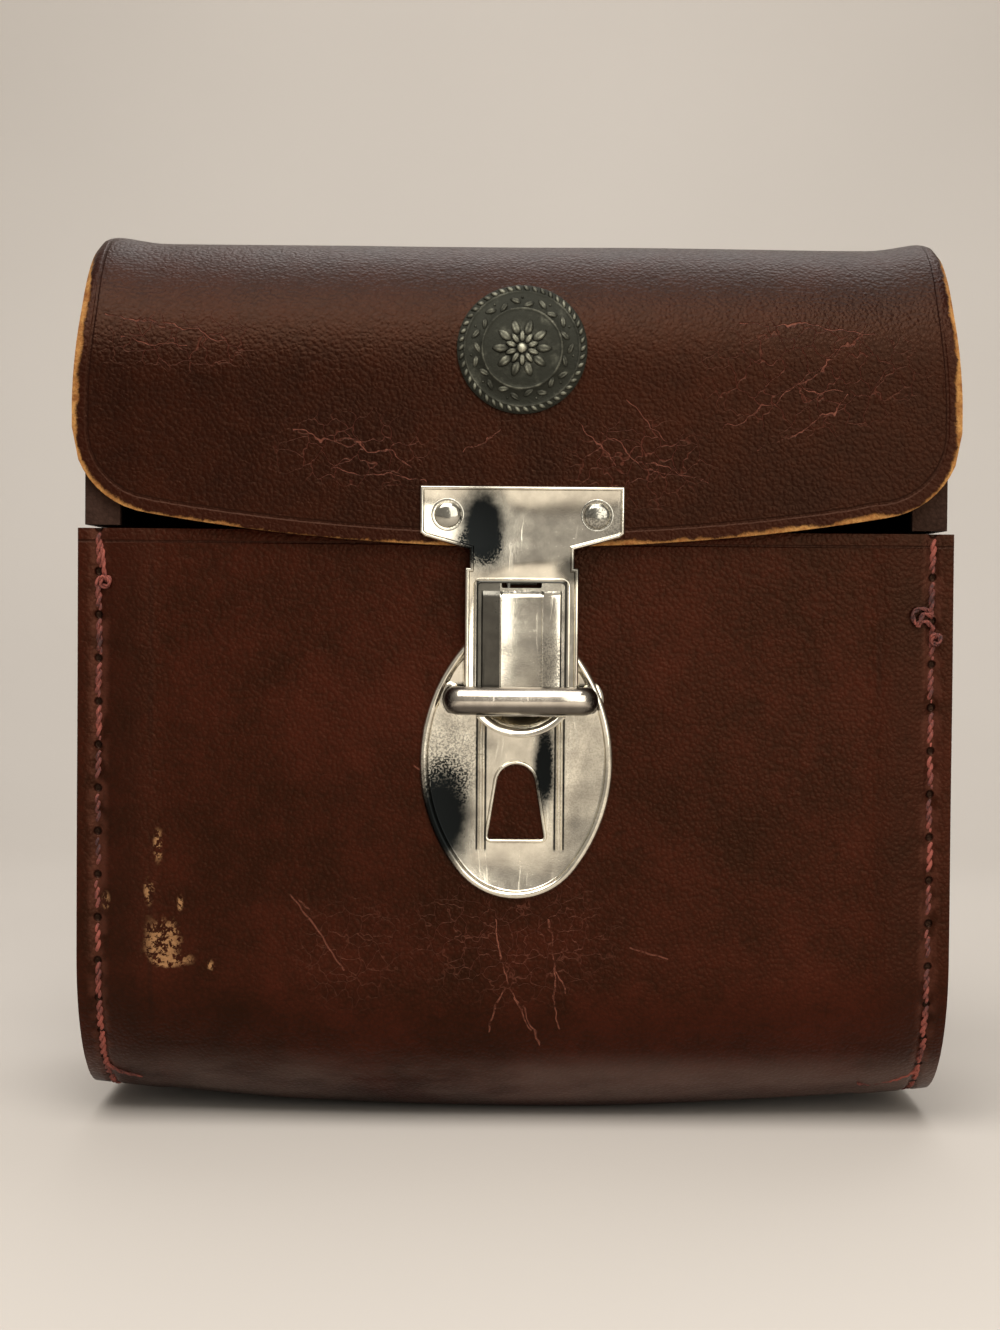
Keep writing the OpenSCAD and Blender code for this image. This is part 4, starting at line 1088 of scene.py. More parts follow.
lid_leather = Finish("lid_leather")
tone, shine, relief = grain_side(lid_leather, (17, 2, 1), (38, 10, 3), 0.31)
dye = lid_leather.dye
edge = lid_leather.number("edge")
ragged = dye.grain(lid_leather.place, 420, 4.0, 0.7) - 0.5
patchy = dye.grain(lid_leather.place, 45, 3.0, 0.6)
corner = lid_leather.x.size().rise(40 * MM, 80 * MM)
bare = (edge + ragged * 2.6 + (patchy - 0.5) * 5.0 - corner * 0.35).rise(0.75, 0.05)
crease = (edge - 2.9 + ragged * 0.2).size().rise(0.5, 0.15)
margin = edge.rise(3.4, 2.6)
tone = (crease * 0.55).mix(tone, card(20, 7, 5))
tone = (margin * 0.35).mix(tone, card(40, 11, 5))
cracks = lid_leather.hairline(
    [(-82, 163), (-72, 162), (-61, 159.6), (-57.4, 157.6)], [(-78, 158.4), (-66, 157)],
    [(11.2, 143.6), (19.6, 135)], [(17, 141), (24, 134.4), (29, 132)], [(25, 135), (37.4, 130.8)],
    [(22.4, 146), (30, 138.6)], [(41, 140.6), (51, 146.6), (63, 156.4), (68.8, 160.4)],
    [(45, 162.8), (58, 162), (70.6, 160.4)], [(56, 150), (64, 148.6)], [(-20, 133.6), (-30, 138), (-44, 140)],
    [(-18, 131), (-36, 132.6)], [(-10, 136.6), (-3, 141.8)], [(48, 138), (58, 141.5), (66, 148)], width=0.2, wander=2.4)
crazed = dye.cells(dye.shove(lid_leather.place, 220, 2.6 * MM), 230, "DISTANCE_TO_EDGE").rise(0.035, 0.0)
crazed = crazed * (lid_leather.blot(24, 135, 14, 9, 1.0) + lid_leather.blot(-32, 137, 16, 8, 1.0)
                   + lid_leather.blot(58, 152, 22, 12, 1.0) + lid_leather.blot(-66, 158, 16, 6, 1.0))
tone = (crazed * 0.3).mix(tone, card(112, 62, 50))
tone = (cracks * 0.6).mix(tone, card(124, 74, 60))
tone = bare.mix(tone, (ragged * 1.6 + 0.5).rise(0.1, 0.9).mix(card(112, 66, 32), card(186, 138, 80)))
relief = relief - crease * 0.14 - bare * 0.1 + bare * ragged * 0.5 - cracks * 0.3 - crazed * 0.1
lid_leather_made = lid_leather.set(Base_Color=tone, Roughness=shine + bare * 0.35, relief=relief,
                                   Specular_IOR_Level=0.2,
    Specular_Tint=WAX_GLARE)
tan_edge = raw_edge("tan_cut_edge", (182, 136, 82), (96, 58, 30))

harden(lid_sheet, solidify={"thickness": LEATHER, "offset": -1, "material_offset_rim": 1},
       bevel={"width": 0.45 * MM, "segments": 3, "angle_limit": math.radians(50)})
smooth(lid_sheet)
fit(lid_sheet, "lid", "sheet_leather", [lid_leather_made, tan_edge], "lid_sheet")

# Lid ends: near-black moulded panels, their edges turned in under the sheet and
# glued. Their lower corners are worn round, and show under the flap's corners.
LID_TURNED = 7 * MM
end_leather = Finish("lid_end_leather")
tone, shine, relief = grain_side(end_leather, (22, 14, 12), (52, 38, 33), 0.5)
end_leather_made = end_leather.set(Base_Color=tone, Roughness=shine, relief=relief, Specular_IOR_Level=0.2,
    Specular_Tint=WAX_GLARE)
for side, hand in ((-1, "left"), (1, "right")):
    end = start(f"{hand}_lid_end", (side * panel_x, back_y - LEATHER, lid_floor + 0.3 * MM))
    draw((0, 0, lid_top - LID_BACK_R - lid_floor - 0.3 * MM), 5)
    bend((0, back_bend_y, lid_top - LID_BACK_R), 90, 12)
    draw((0, front_bend_y - back_bend_y, 0), 4)
    bend((0, front_bend_y, flap_start_z), 90, 16)
    draw((0, 0, lid_floor + 0.3 * MM - flap_start_z), 5)
    close_tray(end, side, LID_TURNED, PANEL, 1.1 * MM)
    mould(end, lambda place, normal: Vector((
        place.x - math.copysign(1.2 * MM * ease((place.z - flap_start_z + 8 * MM) / (24 * MM)),
                                place.x),
        place.y, place.z - 1.6 * MM * ease((place.z - lid_top + 26 * MM) / (20 * MM)))))
    fit(end, "lid", "lid_end_leather", [end_leather_made], f"lid_end_{hand}")

# Lid lining: the same felt, glued inside the top and back of the lid, and down
# over the burrs of the hasp's rivets.
lid_felt_low, lid_felt_high = (Vector(c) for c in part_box("lid_lining"))
lid_felt_half = lid_felt_high.x
lid_felt = start_row("lid_felt", [lid_felt_half * (i / 16 - 1) for i in range(33)],
                     back_y - LEATHER, lid_felt_low.z)
draw((0, 0, lid_top - LID_BACK_R - lid_felt_low.z), 10)
bend((0, back_bend_y, lid_top - LID_BACK_R), 90, 10)
draw((0, front_bend_y - back_bend_y, 0), 8)
bend((0, front_bend_y, flap_start_z), 90, 14)
draw((0, 0, lid_felt_low.z - flap_start_z), 10)
turn_out(lid_felt, (0, middle_y, (lid_top + lid_floor) / 2))
lid_felt_area = sum(f.area for f in lid_felt.data.polygons)


def line_lid(place, normal):
    """Lays the felt inside the lid, which has sunk on top."""
    on_top = ease((place.z - lid_top + 26 * MM) / (20 * MM))
    place = place - normal * (0.5 * MM + noise.noise(place * 60) * 0.25 * MM)
    place.z -= on_top * 1.6 * MM
    return place


mould(lid_felt, line_lid)
harden(lid_felt, solidify={"thickness": FELT, "offset": -1},
       bevel={"width": 0.3 * MM, "segments": 2, "angle_limit": math.radians(50)})
smooth(lid_felt)
fit(lid_felt, "lid", "felt", [felt_made], "lid_lining")
lid_felt_area / (2 * lid_felt_half)

# Hinge: one strip of soft leather across the back, sewn to the body below and to
# the lid above. It has creased along the middle, where the real strip bends; this
# piece is fixed in place and does not bend with the lid.
HINGE_T = 1.8 * MM
HINGE_SEAM = 11 * MM
hinge_low = Vector(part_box("hinge_leaf_body")[0])
hinge_high = Vector(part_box("hinge_leaf_lid")[1])
hinge_z = (hinge_low.z + hinge_high.z) / 2
hinge_half = hinge_high.x
hinge_leather = Finish("hinge_leather")
tone, shine, relief = grain_side(hinge_leather, (36, 12, 8), (72, 32, 23), 0.42)
dye = hinge_leather.dye
off_bend = (hinge_leather.z - hinge_z).size()
crease = dye.grain(hinge_leather.place, 500, 3.0, 0.6, (0.12, 1, 1)).rise(0.5, 0.62) * off_bend.rise(4.5 * MM, 1 * MM)
tone = (crease * 0.6).mix(tone, card(110, 66, 48))
hinge_leather_made = hinge_leather.set(Base_Color=tone, Roughness=shine + crease * 0.2,
                                       relief=relief - crease * 0.25, Specular_IOR_Level=0.2,
    Specular_Tint=WAX_GLARE)


def shape_hinge(place, normal):
    """Bulges the strip at its bend, presses in both seams and rounds its corners."""
    off = abs(place.z - hinge_z)
    bulge = 0.5 * MM * math.exp(-(off / (2.4 * MM)) ** 2)
    groove = 0.35 * MM * ease(1.3 - abs(off - HINGE_SEAM) / (1.2 * MM))
    place.y += bulge - groove + noise.noise(place * 60) * 0.15 * MM
    nose = max(0, abs(place.x) - hinge_half + 4 * MM) / (4 * MM)
    place.z -= math.copysign(1, place.z - hinge_z) * nose * nose * 2.4 * MM * ease(off / (14 * MM)) ** 3
    return place


hinge = start_row("back_hinge", [-hinge_half] + [hinge_half * (i / 16 - 1) * 0.985 for i in range(33)]
                  + [hinge_half], back_y + HINGE_T, hinge_low.z)
draw((0, 0, hinge_high.z - hinge_low.z), 60)
turn_out(hinge, (0, middle_y, hinge_z))
mould(hinge, shape_hinge)
harden(hinge, solidify={"thickness": HINGE_T, "offset": -1, "material_offset_rim": 1},
       bevel={"width": 0.35 * MM, "segments": 3, "angle_limit": math.radians(50)})
smooth(hinge)
fit(hinge, None, "hinge_leather", [hinge_leather_made, dyed_edge], "hinge_leaf_body", "hinge_leaf_lid")
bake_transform(hinge)

stitch_count = round(2 * hinge_half / (8.3 * MM)) - 1
for up, body, node in ((-1, "case", "hinge_thread_body"), (1, "lid", "hinge_thread_lid")):
    stitch = strand("stitch", [(-STITCH_HALF, 1.3 * MM, 0), (-0.85 * STITCH_HALF, 0.2 * MM, 0), (0, -0.05 * MM, 0),
                               (0.85 * STITCH_HALF, 0.2 * MM, 0), (STITCH_HALF, 1.3 * MM, 0)])
    places = []
    for i in range(stitch_count):
        place = Matrix.Rotation(math.pi + chance.uniform(-0.06, 0.06), 4, "Z")
        place.translation = ((i + 0.5 - stitch_count / 2) * 8.3 * MM, back_y + HINGE_T - 0.05 * MM,
                             hinge_z + up * HINGE_SEAM)
        places.append(place)
    seam = repeat(stitch, places)
    seam.name = node.replace("thread", "seam")
    smooth(seam, 60)
    fit(seam, body, "thread", [thread_made], node)

# Hasp: a T-shaped nickelled pressing with a bevelled rim, riveted to the flap.
# Below the neck its sides are folded back into a channel, which has a window
# for the tongue's thumb ridge. Its dark patches are partly smoke from handling and
# partly painted dark reflection.
hasp_low, hasp_high = (Vector(c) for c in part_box("hasp_plate"))
HASP_T = 1 * MM
BARE_END = 6.2 * MM
hasp_top, hasp_end = hasp_high.z, hasp_low.z
hasp_half = (hasp_high.x - hasp_low.x) / 2
hasp_back = flap_y
hasp_face = hasp_back - HASP_T
neck_half, channel_half = 10.4 * MM, 11.3 * MM
neck_z = flap_z - 4.2 * MM
window_half, window_top, window_end = 8.6 * MM, flap_z - 7.2 * MM, hasp_end + 2.6 * MM
rivet_z, rivet_x = flap_z + 6.2 * MM, 14.8 * MM


def rounded(corners, steps=4):
    """An outline from corners (x, z, r), each rounded to its own radius."""
    outline = []
    for i, (x, z, r) in enumerate(corners):
        here = Vector((x, z))
        before = (Vector(corners[i - 1][:2]) - here).normalized()
        after = (Vector(corners[(i + 1) % len(corners)][:2]) - here).normalized()
        if r == 0:
            outline.append((x, z))
            continue
        reach = r / math.tan(before.angle(after) / 2)
        first, last = here + before * reach, here + after * reach
        middle = here + (before + after).normalized() * math.hypot(reach, r)
        for step in range(steps + 1):
            spoke = (first - middle).lerp(last - middle, step / steps).normalized() * r
            outline.append(tuple(middle + spoke))
    return outline


def frame_line(name, corners, y, *steps):
    """A pressed ring round a window, from its outer outline."""
    piece = press(name, rounded(corners), y, *steps)
    xs, zs = [c[0] for c in corners], [c[1] for c in corners]
    turn_out(piece, ((min(xs) + max(xs)) / 2, y, (min(zs) + max(zs)) / 2))
    return piece


def window_corners(x, grow, low, high, r):
    """Corners of a window that is drawn out by grow."""
    left, right = x - window_half - grow, x + window_half + grow
    return [(left, low - grow, r), (right, low - grow, r),
            (right, high + grow, r), (left, high + grow, r)]


hasp_nickel = Finish("hasp_nickel")
# Dark patches on the hasp: partly smoke from handling, partly painted dark reflection.
tarnish_and_painted_light = hasp_nickel.dye.sum("MAXIMUM", hasp_nickel.blot(-6.6, 121.5, 6.4, 10, 0.5),
                            hasp_nickel.blot(11.2, 113.2, 3.4, 3.2, 0.6) * 0.8)
mottle = hasp_nickel.blot(-7, 118, 4.5, 4) + hasp_nickel.blot(19, 123, 3.4, 4) * 0.7
# Painted shade: a dark line along the window's sides and top, in the gap round the tongue's ridge.
beside = (hasp_nickel.x - latch_x).size() - window_half
above = hasp_nickel.z - window_top
window_gap_shade = hasp_nickel.dye.sum(
    "MAXIMUM", beside.size().rise(0.55 * MM, 0.3 * MM) * above.rise(0.5 * MM, 0.2 * MM),
    above.size().rise(0.55 * MM, 0.3 * MM) * beside.rise(0.5 * MM, 0.2 * MM))
tarnish_and_painted_light = hasp_nickel.dye.sum("MAXIMUM", tarnish_and_painted_light, window_gap_shade * 0.96)
off_rivet = ((((hasp_nickel.x - latch_x).size() - rivet_x) ** 2
              + (hasp_nickel.z - rivet_z) ** 2) ** 0.5)
ring = off_rivet.rise(3.3 * MM, 2.9 * MM) * off_rivet.rise(2.4 * MM, 2.6 * MM)
hasp_nickel_made = nickel(hasp_nickel, tarnish_and_painted_light, mottle + ring * 0.5)

arm_low = flap_z + 1.8 * MM
half_hasp = [(0, hasp_end), (channel_half, hasp_end), (channel_half, neck_z), (neck_half, neck_z),
             (neck_half, flap_z - 0.6 * MM), (hasp_half - 1 * MM, arm_low),
             (hasp_half, arm_low + 0.8 * MM), (hasp_half, hasp_top), (0, hasp_top)]
hasp = press("hasp", mirrored([(latch_x + x, z) for x, z in half_hasp], latch_x), hasp_back,
             (0, 0.8), (0.1, 0.3), (0.16, 0.25), (0.2, 0.06), (0.2, -0.05), (0.14, -0.16),
             (0.1, -0.18))
turn_out(hasp, (latch_x, hasp_back - 0.2 * MM, rivet_z))
fold = frame_line("hasp_fold", window_corners(latch_x, 1.0 * MM, window_end, window_top, 1.5 * MM),
                  hasp_face + 0.1 * MM, (0, 0.1), (0.12, 0.14), (0.16, 0.04), (0.16, -0.1), (0.14, -0.1),
                  (0.14, 0.12), (0.14, 0.05), (0.12, -0.06), (0.03, -0.05))
for pierced in (hasp, fold):
    slot = press("slot", rounded(window_corners(latch_x, 0, window_end, window_top, 0.8 * MM)),
                 hasp_back + MM, (0, 3))
    turn_out(slot, (latch_x, hasp_back, (window_end + window_top) / 2))
    cut_out(pierced, slot)
walls = []
for side in (-1, 1):
    out = latch_x + side * channel_half
    section = [(out - side * 0.9 * MM, front_y - 2 * MM), (out, front_y - 2 * MM),
               (out + side * 0.02 * MM, hasp_face + 0.3 * MM), (out - side * 0.12 * MM, hasp_face - 0.12 * MM),
               (out - side * 0.4 * MM, hasp_face - 0.36 * MM), (out - side * 0.75 * MM, hasp_face - 0.34 * MM),
               (out - side * 0.95 * MM, hasp_face - 0.1 * MM), (out - side * 1.0 * MM, hasp_face + 0.1 * MM)]
    walls.append(rail("wall", section, hasp_end, neck_z - 0.15 * MM))
harden(hasp, bevel={"width": 0.07 * MM, "segments": 2, "angle_limit": math.radians(25)})
weld(hasp, fold, *walls)
smooth(hasp, 35)
fit(hasp, "lid", "nickel", [hasp_nickel_made], "hasp_plate")

# Hasp rivets: two solid nickelled rivets through the flap, their low domed heads
# turned and a little flattened by the set, with a ring pressed round each.
rivet_nickel = Finish("rivet_nickel")
rivet_nickel_made = nickel(rivet_nickel, (rivet_nickel.z * 0).rise(1, 2),
                           rivet_nickel.blot(15, 124, 4, 4), (188, 184, 172))


hasp_rivets = []
for side in (-1, 1):
    spot = (latch_x + side * rivet_x, hasp_face, rivet_z)
    profile = [(0, -4.4), (1.5, -4.4), (1.6, -3.8), (1.2, -3.7), (1.2, -0.3), (3.2, -0.3), (3.25, 0.02),
               (3.1, 0.09), (2.9, 0.05), (2.75, -0.12), (2.62, -0.02), (2.6, 0.2), (2.4, 0.52),
               (2.0, 0.76), (1.4, 0.93), (0.7, 1.0), (0, 1.01)]
    hasp_rivets.append(turned("flap_rivets", spot, [(r * MM, h * MM) for r, h in profile]))
weld(*hasp_rivets)
fit(hasp_rivets[0], "lid", "nickel", [rivet_nickel_made], "hasp_rivets")

# Spring tongue: a nickelled leaf on a pin behind the hasp. Its pressed ridge with
# three facets fills the window for the thumb, and its dished lip hooks the staple.
tongue_nickel = Finish("tongue_nickel")
dye = tongue_nickel.dye
brushed = dye.grain(tongue_nickel.place, 1500, 3.0, 0.7, (1, 1, 0.03))
facet_side = (tongue_nickel.x - latch_x)
# Painted shade: the ridge's left facet is darkened; the brushed streaks are tarnish, and the lip below is darkened a
# little.
tarnish_and_painted_light = facet_side.rise(-4.1 * MM, -4.4 * MM) * 0.8 + brushed.rise(0.55, 0.75) * 0.12
tarnish_and_painted_light = tarnish_and_painted_light * tongue_nickel.z.rise(87 * MM, 88 * MM) + dye.sum(
    "MULTIPLY", tongue_nickel.z.rise(87 * MM, 86 * MM), 0.1)
mottle = tongue_nickel.blot(7.2, 94, 3, 7)
tongue_nickel_made = nickel(tongue_nickel, tarnish_and_painted_light, mottle)
RIDGE_HALF, FACET_HALF, FACET_DROP = 7.95 * MM, 4 * MM, 0.8 * MM
leaf_front, leaf_back = hasp_back + 0.1 * MM, hasp_back + 0.8 * MM
ridge_face = hasp_face - 0.3 * MM
ridge_low, ridge_top = window_end + 0.7 * MM, window_top - 1.6 * MM
right_half = [(RIDGE_HALF, leaf_front), (RIDGE_HALF, ridge_face + FACET_DROP + 0.3 * MM),
              (RIDGE_HALF - 0.12 * MM, ridge_face + FACET_DROP + 0.1 * MM),
              (RIDGE_HALF - 0.35 * MM, ridge_face + FACET_DROP - 0.02 * MM),
              (FACET_HALF + 0.42 * MM, ridge_face + 0.02 * MM), (FACET_HALF + 0.28 * MM, ridge_face - 0.12 * MM),
              (FACET_HALF + 0.08 * MM, ridge_face - 0.12 * MM), (FACET_HALF - 0.04 * MM, ridge_face + 0.03 * MM),
              (FACET_HALF - 0.3 * MM, ridge_face + 0.06 * MM)]
section = ([(latch_x + x, y) for x, y in right_half]
           + [(latch_x - x, y) for x, y in reversed(right_half)])
ridge = start("thumb_tongue", (section[0][0], section[0][1], ridge_low))
for here, there in zip(section, section[1:]):
    draw((there[0] - here[0], there[1] - here[1], 0))
bpy.ops.mesh.select_all(action="SELECT")
bpy.ops.mesh.edge_face_add()
draw((0, 0, ridge_top - ridge_low - 1.5 * MM), 12)
draw((0, 0, 1.5 * MM), 6)
turn_out(ridge, (latch_x, leaf_front, (ridge_low + ridge_top) / 2))


def scoop(place, normal):
    """Draws the ridge's top end down to the leaf in a curve, as the press left it."""
    across = abs(place.x - latch_x) / RIDGE_HALF
    fall = ease((place.z - ridge_top + (1.5 - 0.5 * across) * MM) / (1.5 * MM))
    place.y += fall * 0.7 * (leaf_front - place.y)
    return place


mould(ridge, scoop)
leaf_half = 8.8 * MM
lip_top = bar_z - bar_half_h - 0.3 * MM
tip_r = 11.7 * MM
tip_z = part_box("spring_tongue")[0][2]
tip_c = tip_z + tip_r
leaf = press("leaf", rounded([(latch_x - leaf_half, lip_top, 0), (latch_x + leaf_half, lip_top, 0),
                              (latch_x + leaf_half, window_top + 1.8 * MM, 1 * MM),
                              (latch_x - leaf_half, window_top + 1.8 * MM, 1 * MM)]),
             leaf_back, (0, 0.7))
turn_out(leaf, (latch_x, leaf_front, window_end))
notch = press("notch", rounded([(latch_x - 4 * MM, window_top - 1 * MM, 0.4 * MM),
                                (latch_x + 4 * MM, window_top - 1 * MM, 0.4 * MM),
                                (latch_x + 4 * MM, window_top + 5 * MM, 0),
                                (latch_x - 4 * MM, window_top + 5 * MM, 0)]), leaf_back + MM, (0, 3))
turn_out(notch, (latch_x, leaf_front, window_top + 2 * MM))
cut_out(leaf, notch)
ears = []
for side in (-1, 1):
    pin_x = latch_x + side * (leaf_half - 0.6 * MM)
    pin = (pin_x, leaf_back + 1 * MM, window_top + 0.8 * MM)
    section = [(pin[1] + 1.3 * MM * math.cos(math.radians(t)), pin[2] + 1.3 * MM * math.sin(math.radians(t)))
               for t in range(-90, 91, 15)] + [(leaf_back, pin[2] + 1.3 * MM), (leaf_back, pin[2] - 1.3 * MM)]
    ear = start("ear", (pin_x - 0.6 * MM, *section[0]))
    for here, there in zip(section, section[1:]):
        draw((0, there[0] - here[0], there[1] - here[1]))
    bpy.ops.mesh.select_all(action="SELECT")
    bpy.ops.mesh.edge_face_add()
    draw((1.2 * MM, 0, 0))
    turn_out(ear, pin)
    ears.append(ear)
lip_profile = [(0, 3.3), (6.6, 3.3), (7.6, 3.38), (8.4, 3.7), (9.2, 4.35), (9.9, 5.1), (10.4, 5.7),
               (10.8, 5.98), (11.3, 6.0), (11.6, 5.8), (11.7, 5.45), (11.5, 5.1), (10.9, 4.5),
               (10.0, 3.7), (9.0, 2.95), (8.0, 2.6), (0, 2.6)]
lip = turned("lip", (latch_x, front_y, tip_c), [(r * MM, u * MM) for r, u in lip_profile], 96)
bpy.ops.object.mode_set(mode="EDIT")
bpy.ops.mesh.select_all(action="SELECT")
bpy.ops.mesh.bisect(plane_co=(0, 0, lip_top + 0.02 * MM), plane_no=(0, 0, 1), use_fill=True, clear_outer=True)
bpy.ops.object.mode_set(mode="OBJECT")
weld(ridge, leaf, lip, *ears)
smooth(ridge, 35)
fit(ridge, "tongue", "nickel", [tongue_nickel_made], "spring_tongue")

# Badge: a cast pewter medallion, pinned through the flap. It is bent to the lid,
# with a rope rim, a wreath of leaves and a rosette, gone dark in its hollows.
badge_low, badge_high = (Vector(c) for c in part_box("badge"))
badge_r = (badge_high.x - badge_low.x) / 2
badge_x = (badge_high.x + badge_low.x) / 2
badge_z = (badge_high.z + badge_low.z) / 2
BEADS = 46
LEAVES = 22
PETALS = 10

pewter = Finish("old_pewter")
dye = pewter.dye
high = pewter.number("height")
grime_and_shade = dye.grain(pewter.place, 300, 4.0, 0.65)
worn = (high + (grime_and_shade - 0.5) * 0.9).rise(0.75, 1.75)
pewter_made = pewter.set(Base_Color=worn.mix(card(40, 40, 33), card(168, 166, 146)), Metallic=0.85,
                         Roughness=0.62 - worn * 0.24,
                         relief=dye.grain(pewter.place, 1300, 3.0, 0.6) * 0.12)


def lump(name, long, wide, high, ridge=0.0):
    """A cast leaf, bead or petal at the origin, long in X, proud along -Y."""
    bpy.ops.object.select_all(action="DESELECT")
    bpy.ops.mesh.primitive_uv_sphere_add(segments=10, ring_count=6, radius=1)
    piece = bpy.context.object
    piece.name = name
    for point in piece.data.vertices:
        x, up, out = point.co
        taper = 1 - 0.35 * max(0, x)
        crest = out * (1 - ridge * math.exp(-(up / 0.3) ** 2))
        point.co = (x * long, -crest * high, up * wide * taper)
    return piece


def round_badge(r, turn, out, lean=0.0):
    """Where a cast part sits: at a radius and turn on the badge, leaning from outwards."""
    place = Matrix.Translation((badge_x + r * math.cos(turn), -out, badge_z + r * math.sin(turn)))
    return place @ Matrix.Rotation(-(turn + lean), 4, "Y")


medallion = press("medallion", arc((badge_x, badge_z), badge_r, 0, 357, 119), 0,
              (0, 0.5), (0.15, 0.12), (0.75, 0.1), (0.25, -0.02), (0.2, 0.16), (0.2, 0.03), (0.22, -0.15),
              (0.3, -0.02), (2.6, 0), (0.2, 0.2), (0.2, 0.02), (0.2, -0.18), (0.4, 0.04))
turn_out(medallion, (badge_x, -0.1 * MM, badge_z))
rope = repeat(lump("bead", 0.92 * MM, 0.5 * MM, 0.5 * MM),
              [round_badge(badge_r - 0.85 * MM, 2 * math.pi * i / BEADS, 0.62 * MM, 0.85)
               for i in range(BEADS)])
wreath = repeat(lump("leaf", 1.3 * MM, 0.62 * MM, 0.5 * MM, 0.5),
                [round_badge(badge_r - (3.3 + 0.75 * (i % 2)) * MM, 2 * math.pi * i / LEAVES, 0.62 * MM,
                             1.57 + (0.5 if i % 2 else -0.45)) for i in range(LEAVES)])
berries = repeat(lump("berry", 0.3 * MM, 0.3 * MM, 0.36 * MM),
                 [round_badge(badge_r - (4.9 - 2.2 * (i % 2)) * MM, 2 * math.pi * (i + 0.5) / LEAVES, 0.6 * MM)
                  for i in range(LEAVES)])
petals = repeat(lump("petal", 1.75 * MM, 0.95 * MM, 0.62 * MM, 0.45),
                [round_badge(4.3 * MM, 2 * math.pi * i / PETALS, 0.6 * MM) for i in range(PETALS)])
inner = repeat(lump("inner_petal", 1.2 * MM, 0.62 * MM, 0.6 * MM, 0.4),
               [round_badge(2.3 * MM, 2 * math.pi * (i + 0.5) / PETALS, 0.75 * MM) for i in range(PETALS)])
boss = repeat(lump("boss", 1.1 * MM, 1.1 * MM, 0.7 * MM), [round_badge(0, 0, 0.85 * MM)])
weld(medallion, rope, wreath, berries, petals, inner, boss)
mark(medallion, "height", lambda place: -place.y / MM)


def bend_to_lid(place, normal):
    """Lays the flat badge round the lid's front bend, as it was bent when it was pinned."""
    out = -place.y
    turn = math.asin(max(0, place.z - flap_start_z) / LID_FRONT_R)
    place.y = flap_y + LID_FRONT_R * (1 - math.cos(turn)) - out * math.cos(turn)
    place.z += out * math.sin(turn)
    return place


mould(medallion, bend_to_lid)
smooth(medallion, 50)
fit(medallion, "lid", "pewter", [pewter_made], "badge")

# Small steel parts that stay as they were drawn: the strip behind the staple, the
# burrs of the rivets, the tongue's pin and its spring, all zinc plated and dull.
steel = Finish("dull_steel")
rust = steel.dye.grain(steel.place, 340, 4.0, 0.7).rise(0.56, 0.68)
zinc = steel.dye.grain(steel.place, 900, 3.0, 0.6)
steel_made = steel.set(
    Base_Color=rust.mix(zinc.rise(0.3, 0.7).mix(card(118, 116, 110), card(170, 168, 162)), card(96, 56, 34)),
    Metallic=1 - rust * 0.8, Roughness=0.36 + zinc * 0.2 + rust * 0.3, relief=zinc * 0.04 + rust * 0.05)
for name in ("staple_backing", "loop_burrs", "hasp_burrs", "tongue_pin", "tongue_spring"):
    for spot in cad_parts[name].material_slots:
        spot.material = steel_made

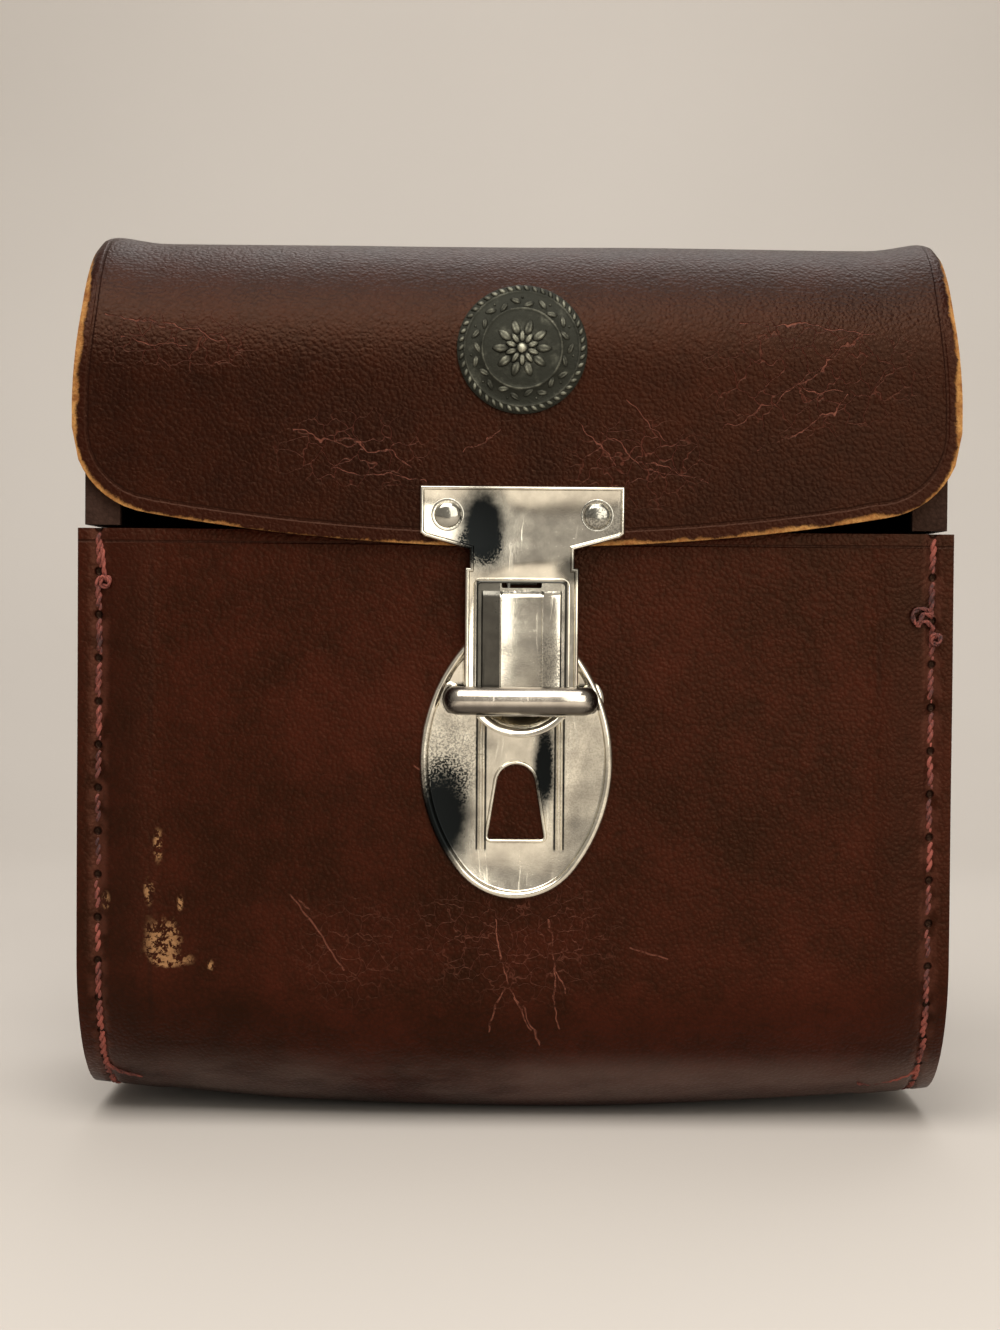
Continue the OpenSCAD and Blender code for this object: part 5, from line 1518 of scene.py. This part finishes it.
# Table, backdrop and lamps of a small product studio: one pale sheet that curves
# from the table up the wall, a wide soft lamp over the front, a weak one over the
# back, and a white card behind the camera at the right for the nickel to show.
DISTANCE = 450 * MM
FOCAL_PX = 2250
FRAME_PX = 1000
SWEEP_R = 0.5
WALL_Y = 0.95
studio = Finish("pale_studio")
studio_made = studio.set(
    Base_Color=studio.dye.grain(studio.place, 3, 2.0).mix(card(192, 185, 177), card(204, 197, 189)),
    Roughness=0.75)
studio_sheet = start_row("studio_sheet", [-2.5, -1.5, -0.5, 0.5, 1.5, 2.5], -2.5, -0.2 * MM)
draw((0, WALL_Y - SWEEP_R + 2.5, 0))
bend((0, WALL_Y - SWEEP_R, SWEEP_R), 90, 24)
draw((0, 0, 2))
bpy.ops.object.mode_set(mode="OBJECT")
studio_sheet.data.materials.append(studio_made)
smooth(studio_sheet, 60)


def lamp(name, place, aim, size, power, colour=(1, 1, 1)):
    """A square soft lamp that looks at a point."""
    light = bpy.data.lights.new(name, "AREA")
    light.size = size
    light.energy = power
    light.color = colour
    piece = bpy.data.objects.new(name, light)
    bpy.context.collection.objects.link(piece)
    piece.location = place
    piece.rotation_euler = (Vector(aim) - Vector(place)).to_track_quat("-Z", "Y").to_euler()


lamp("front_lamp", (-0.15, -0.62, 1.05), (0, 0, 0.08), 1.0, 16, (1, 0.97, 0.93))
lamp("back_lamp", (0.1, 0.45, 1.0), (0, 0.1, 0.1), 0.8, 4)
lamp("white_card", (0.47, -0.95, 0.46), (0.2, 0, 0.1), 0.86, 6, (1, 0.96, 0.88))
world = bpy.data.worlds.new("studio_air")
world.use_nodes = True
air = Dye(world.node_tree)
seen, mirrored_air, through = (air.node("ShaderNodeLightPath", out=f"Is {ray} Ray")
                               for ray in ("Camera", "Glossy", "Transmission"))
lit, shown = (air.node("ShaderNodeBackground", {}, {"Color": card(205, 198, 190), "Strength": strength})
              for strength in (0.22, 0.6))
both = air.node("ShaderNodeMixShader", {}, {0: seen + mirrored_air + through, 1: lit, 2: shown})
world.node_tree.links.new(both.socket, world.node_tree.nodes["World Output"].inputs["Surface"])
bpy.context.scene.world = world

camera_data = bpy.data.cameras.new("camera")
camera_data.sensor_fit = "HORIZONTAL"
camera_data.sensor_width = 36
camera_data.lens = 36 * FOCAL_PX / FRAME_PX
camera = bpy.data.objects.new("camera", camera_data)
bpy.context.collection.objects.link(camera)
camera.location = (-3 * MM, front_y - DISTANCE, 106 * MM)
camera.rotation_mode = "QUATERNION"
look = Vector((0, math.cos(math.radians(1.5)), -math.sin(math.radians(1.5))))
camera.rotation_quaternion = (look.to_track_quat("-Z", "Y")
                              @ Quaternion((0, 0, 1), math.radians(0.45)))
bpy.context.scene.camera = camera
bpy.context.scene.view_settings.view_transform = "Standard"
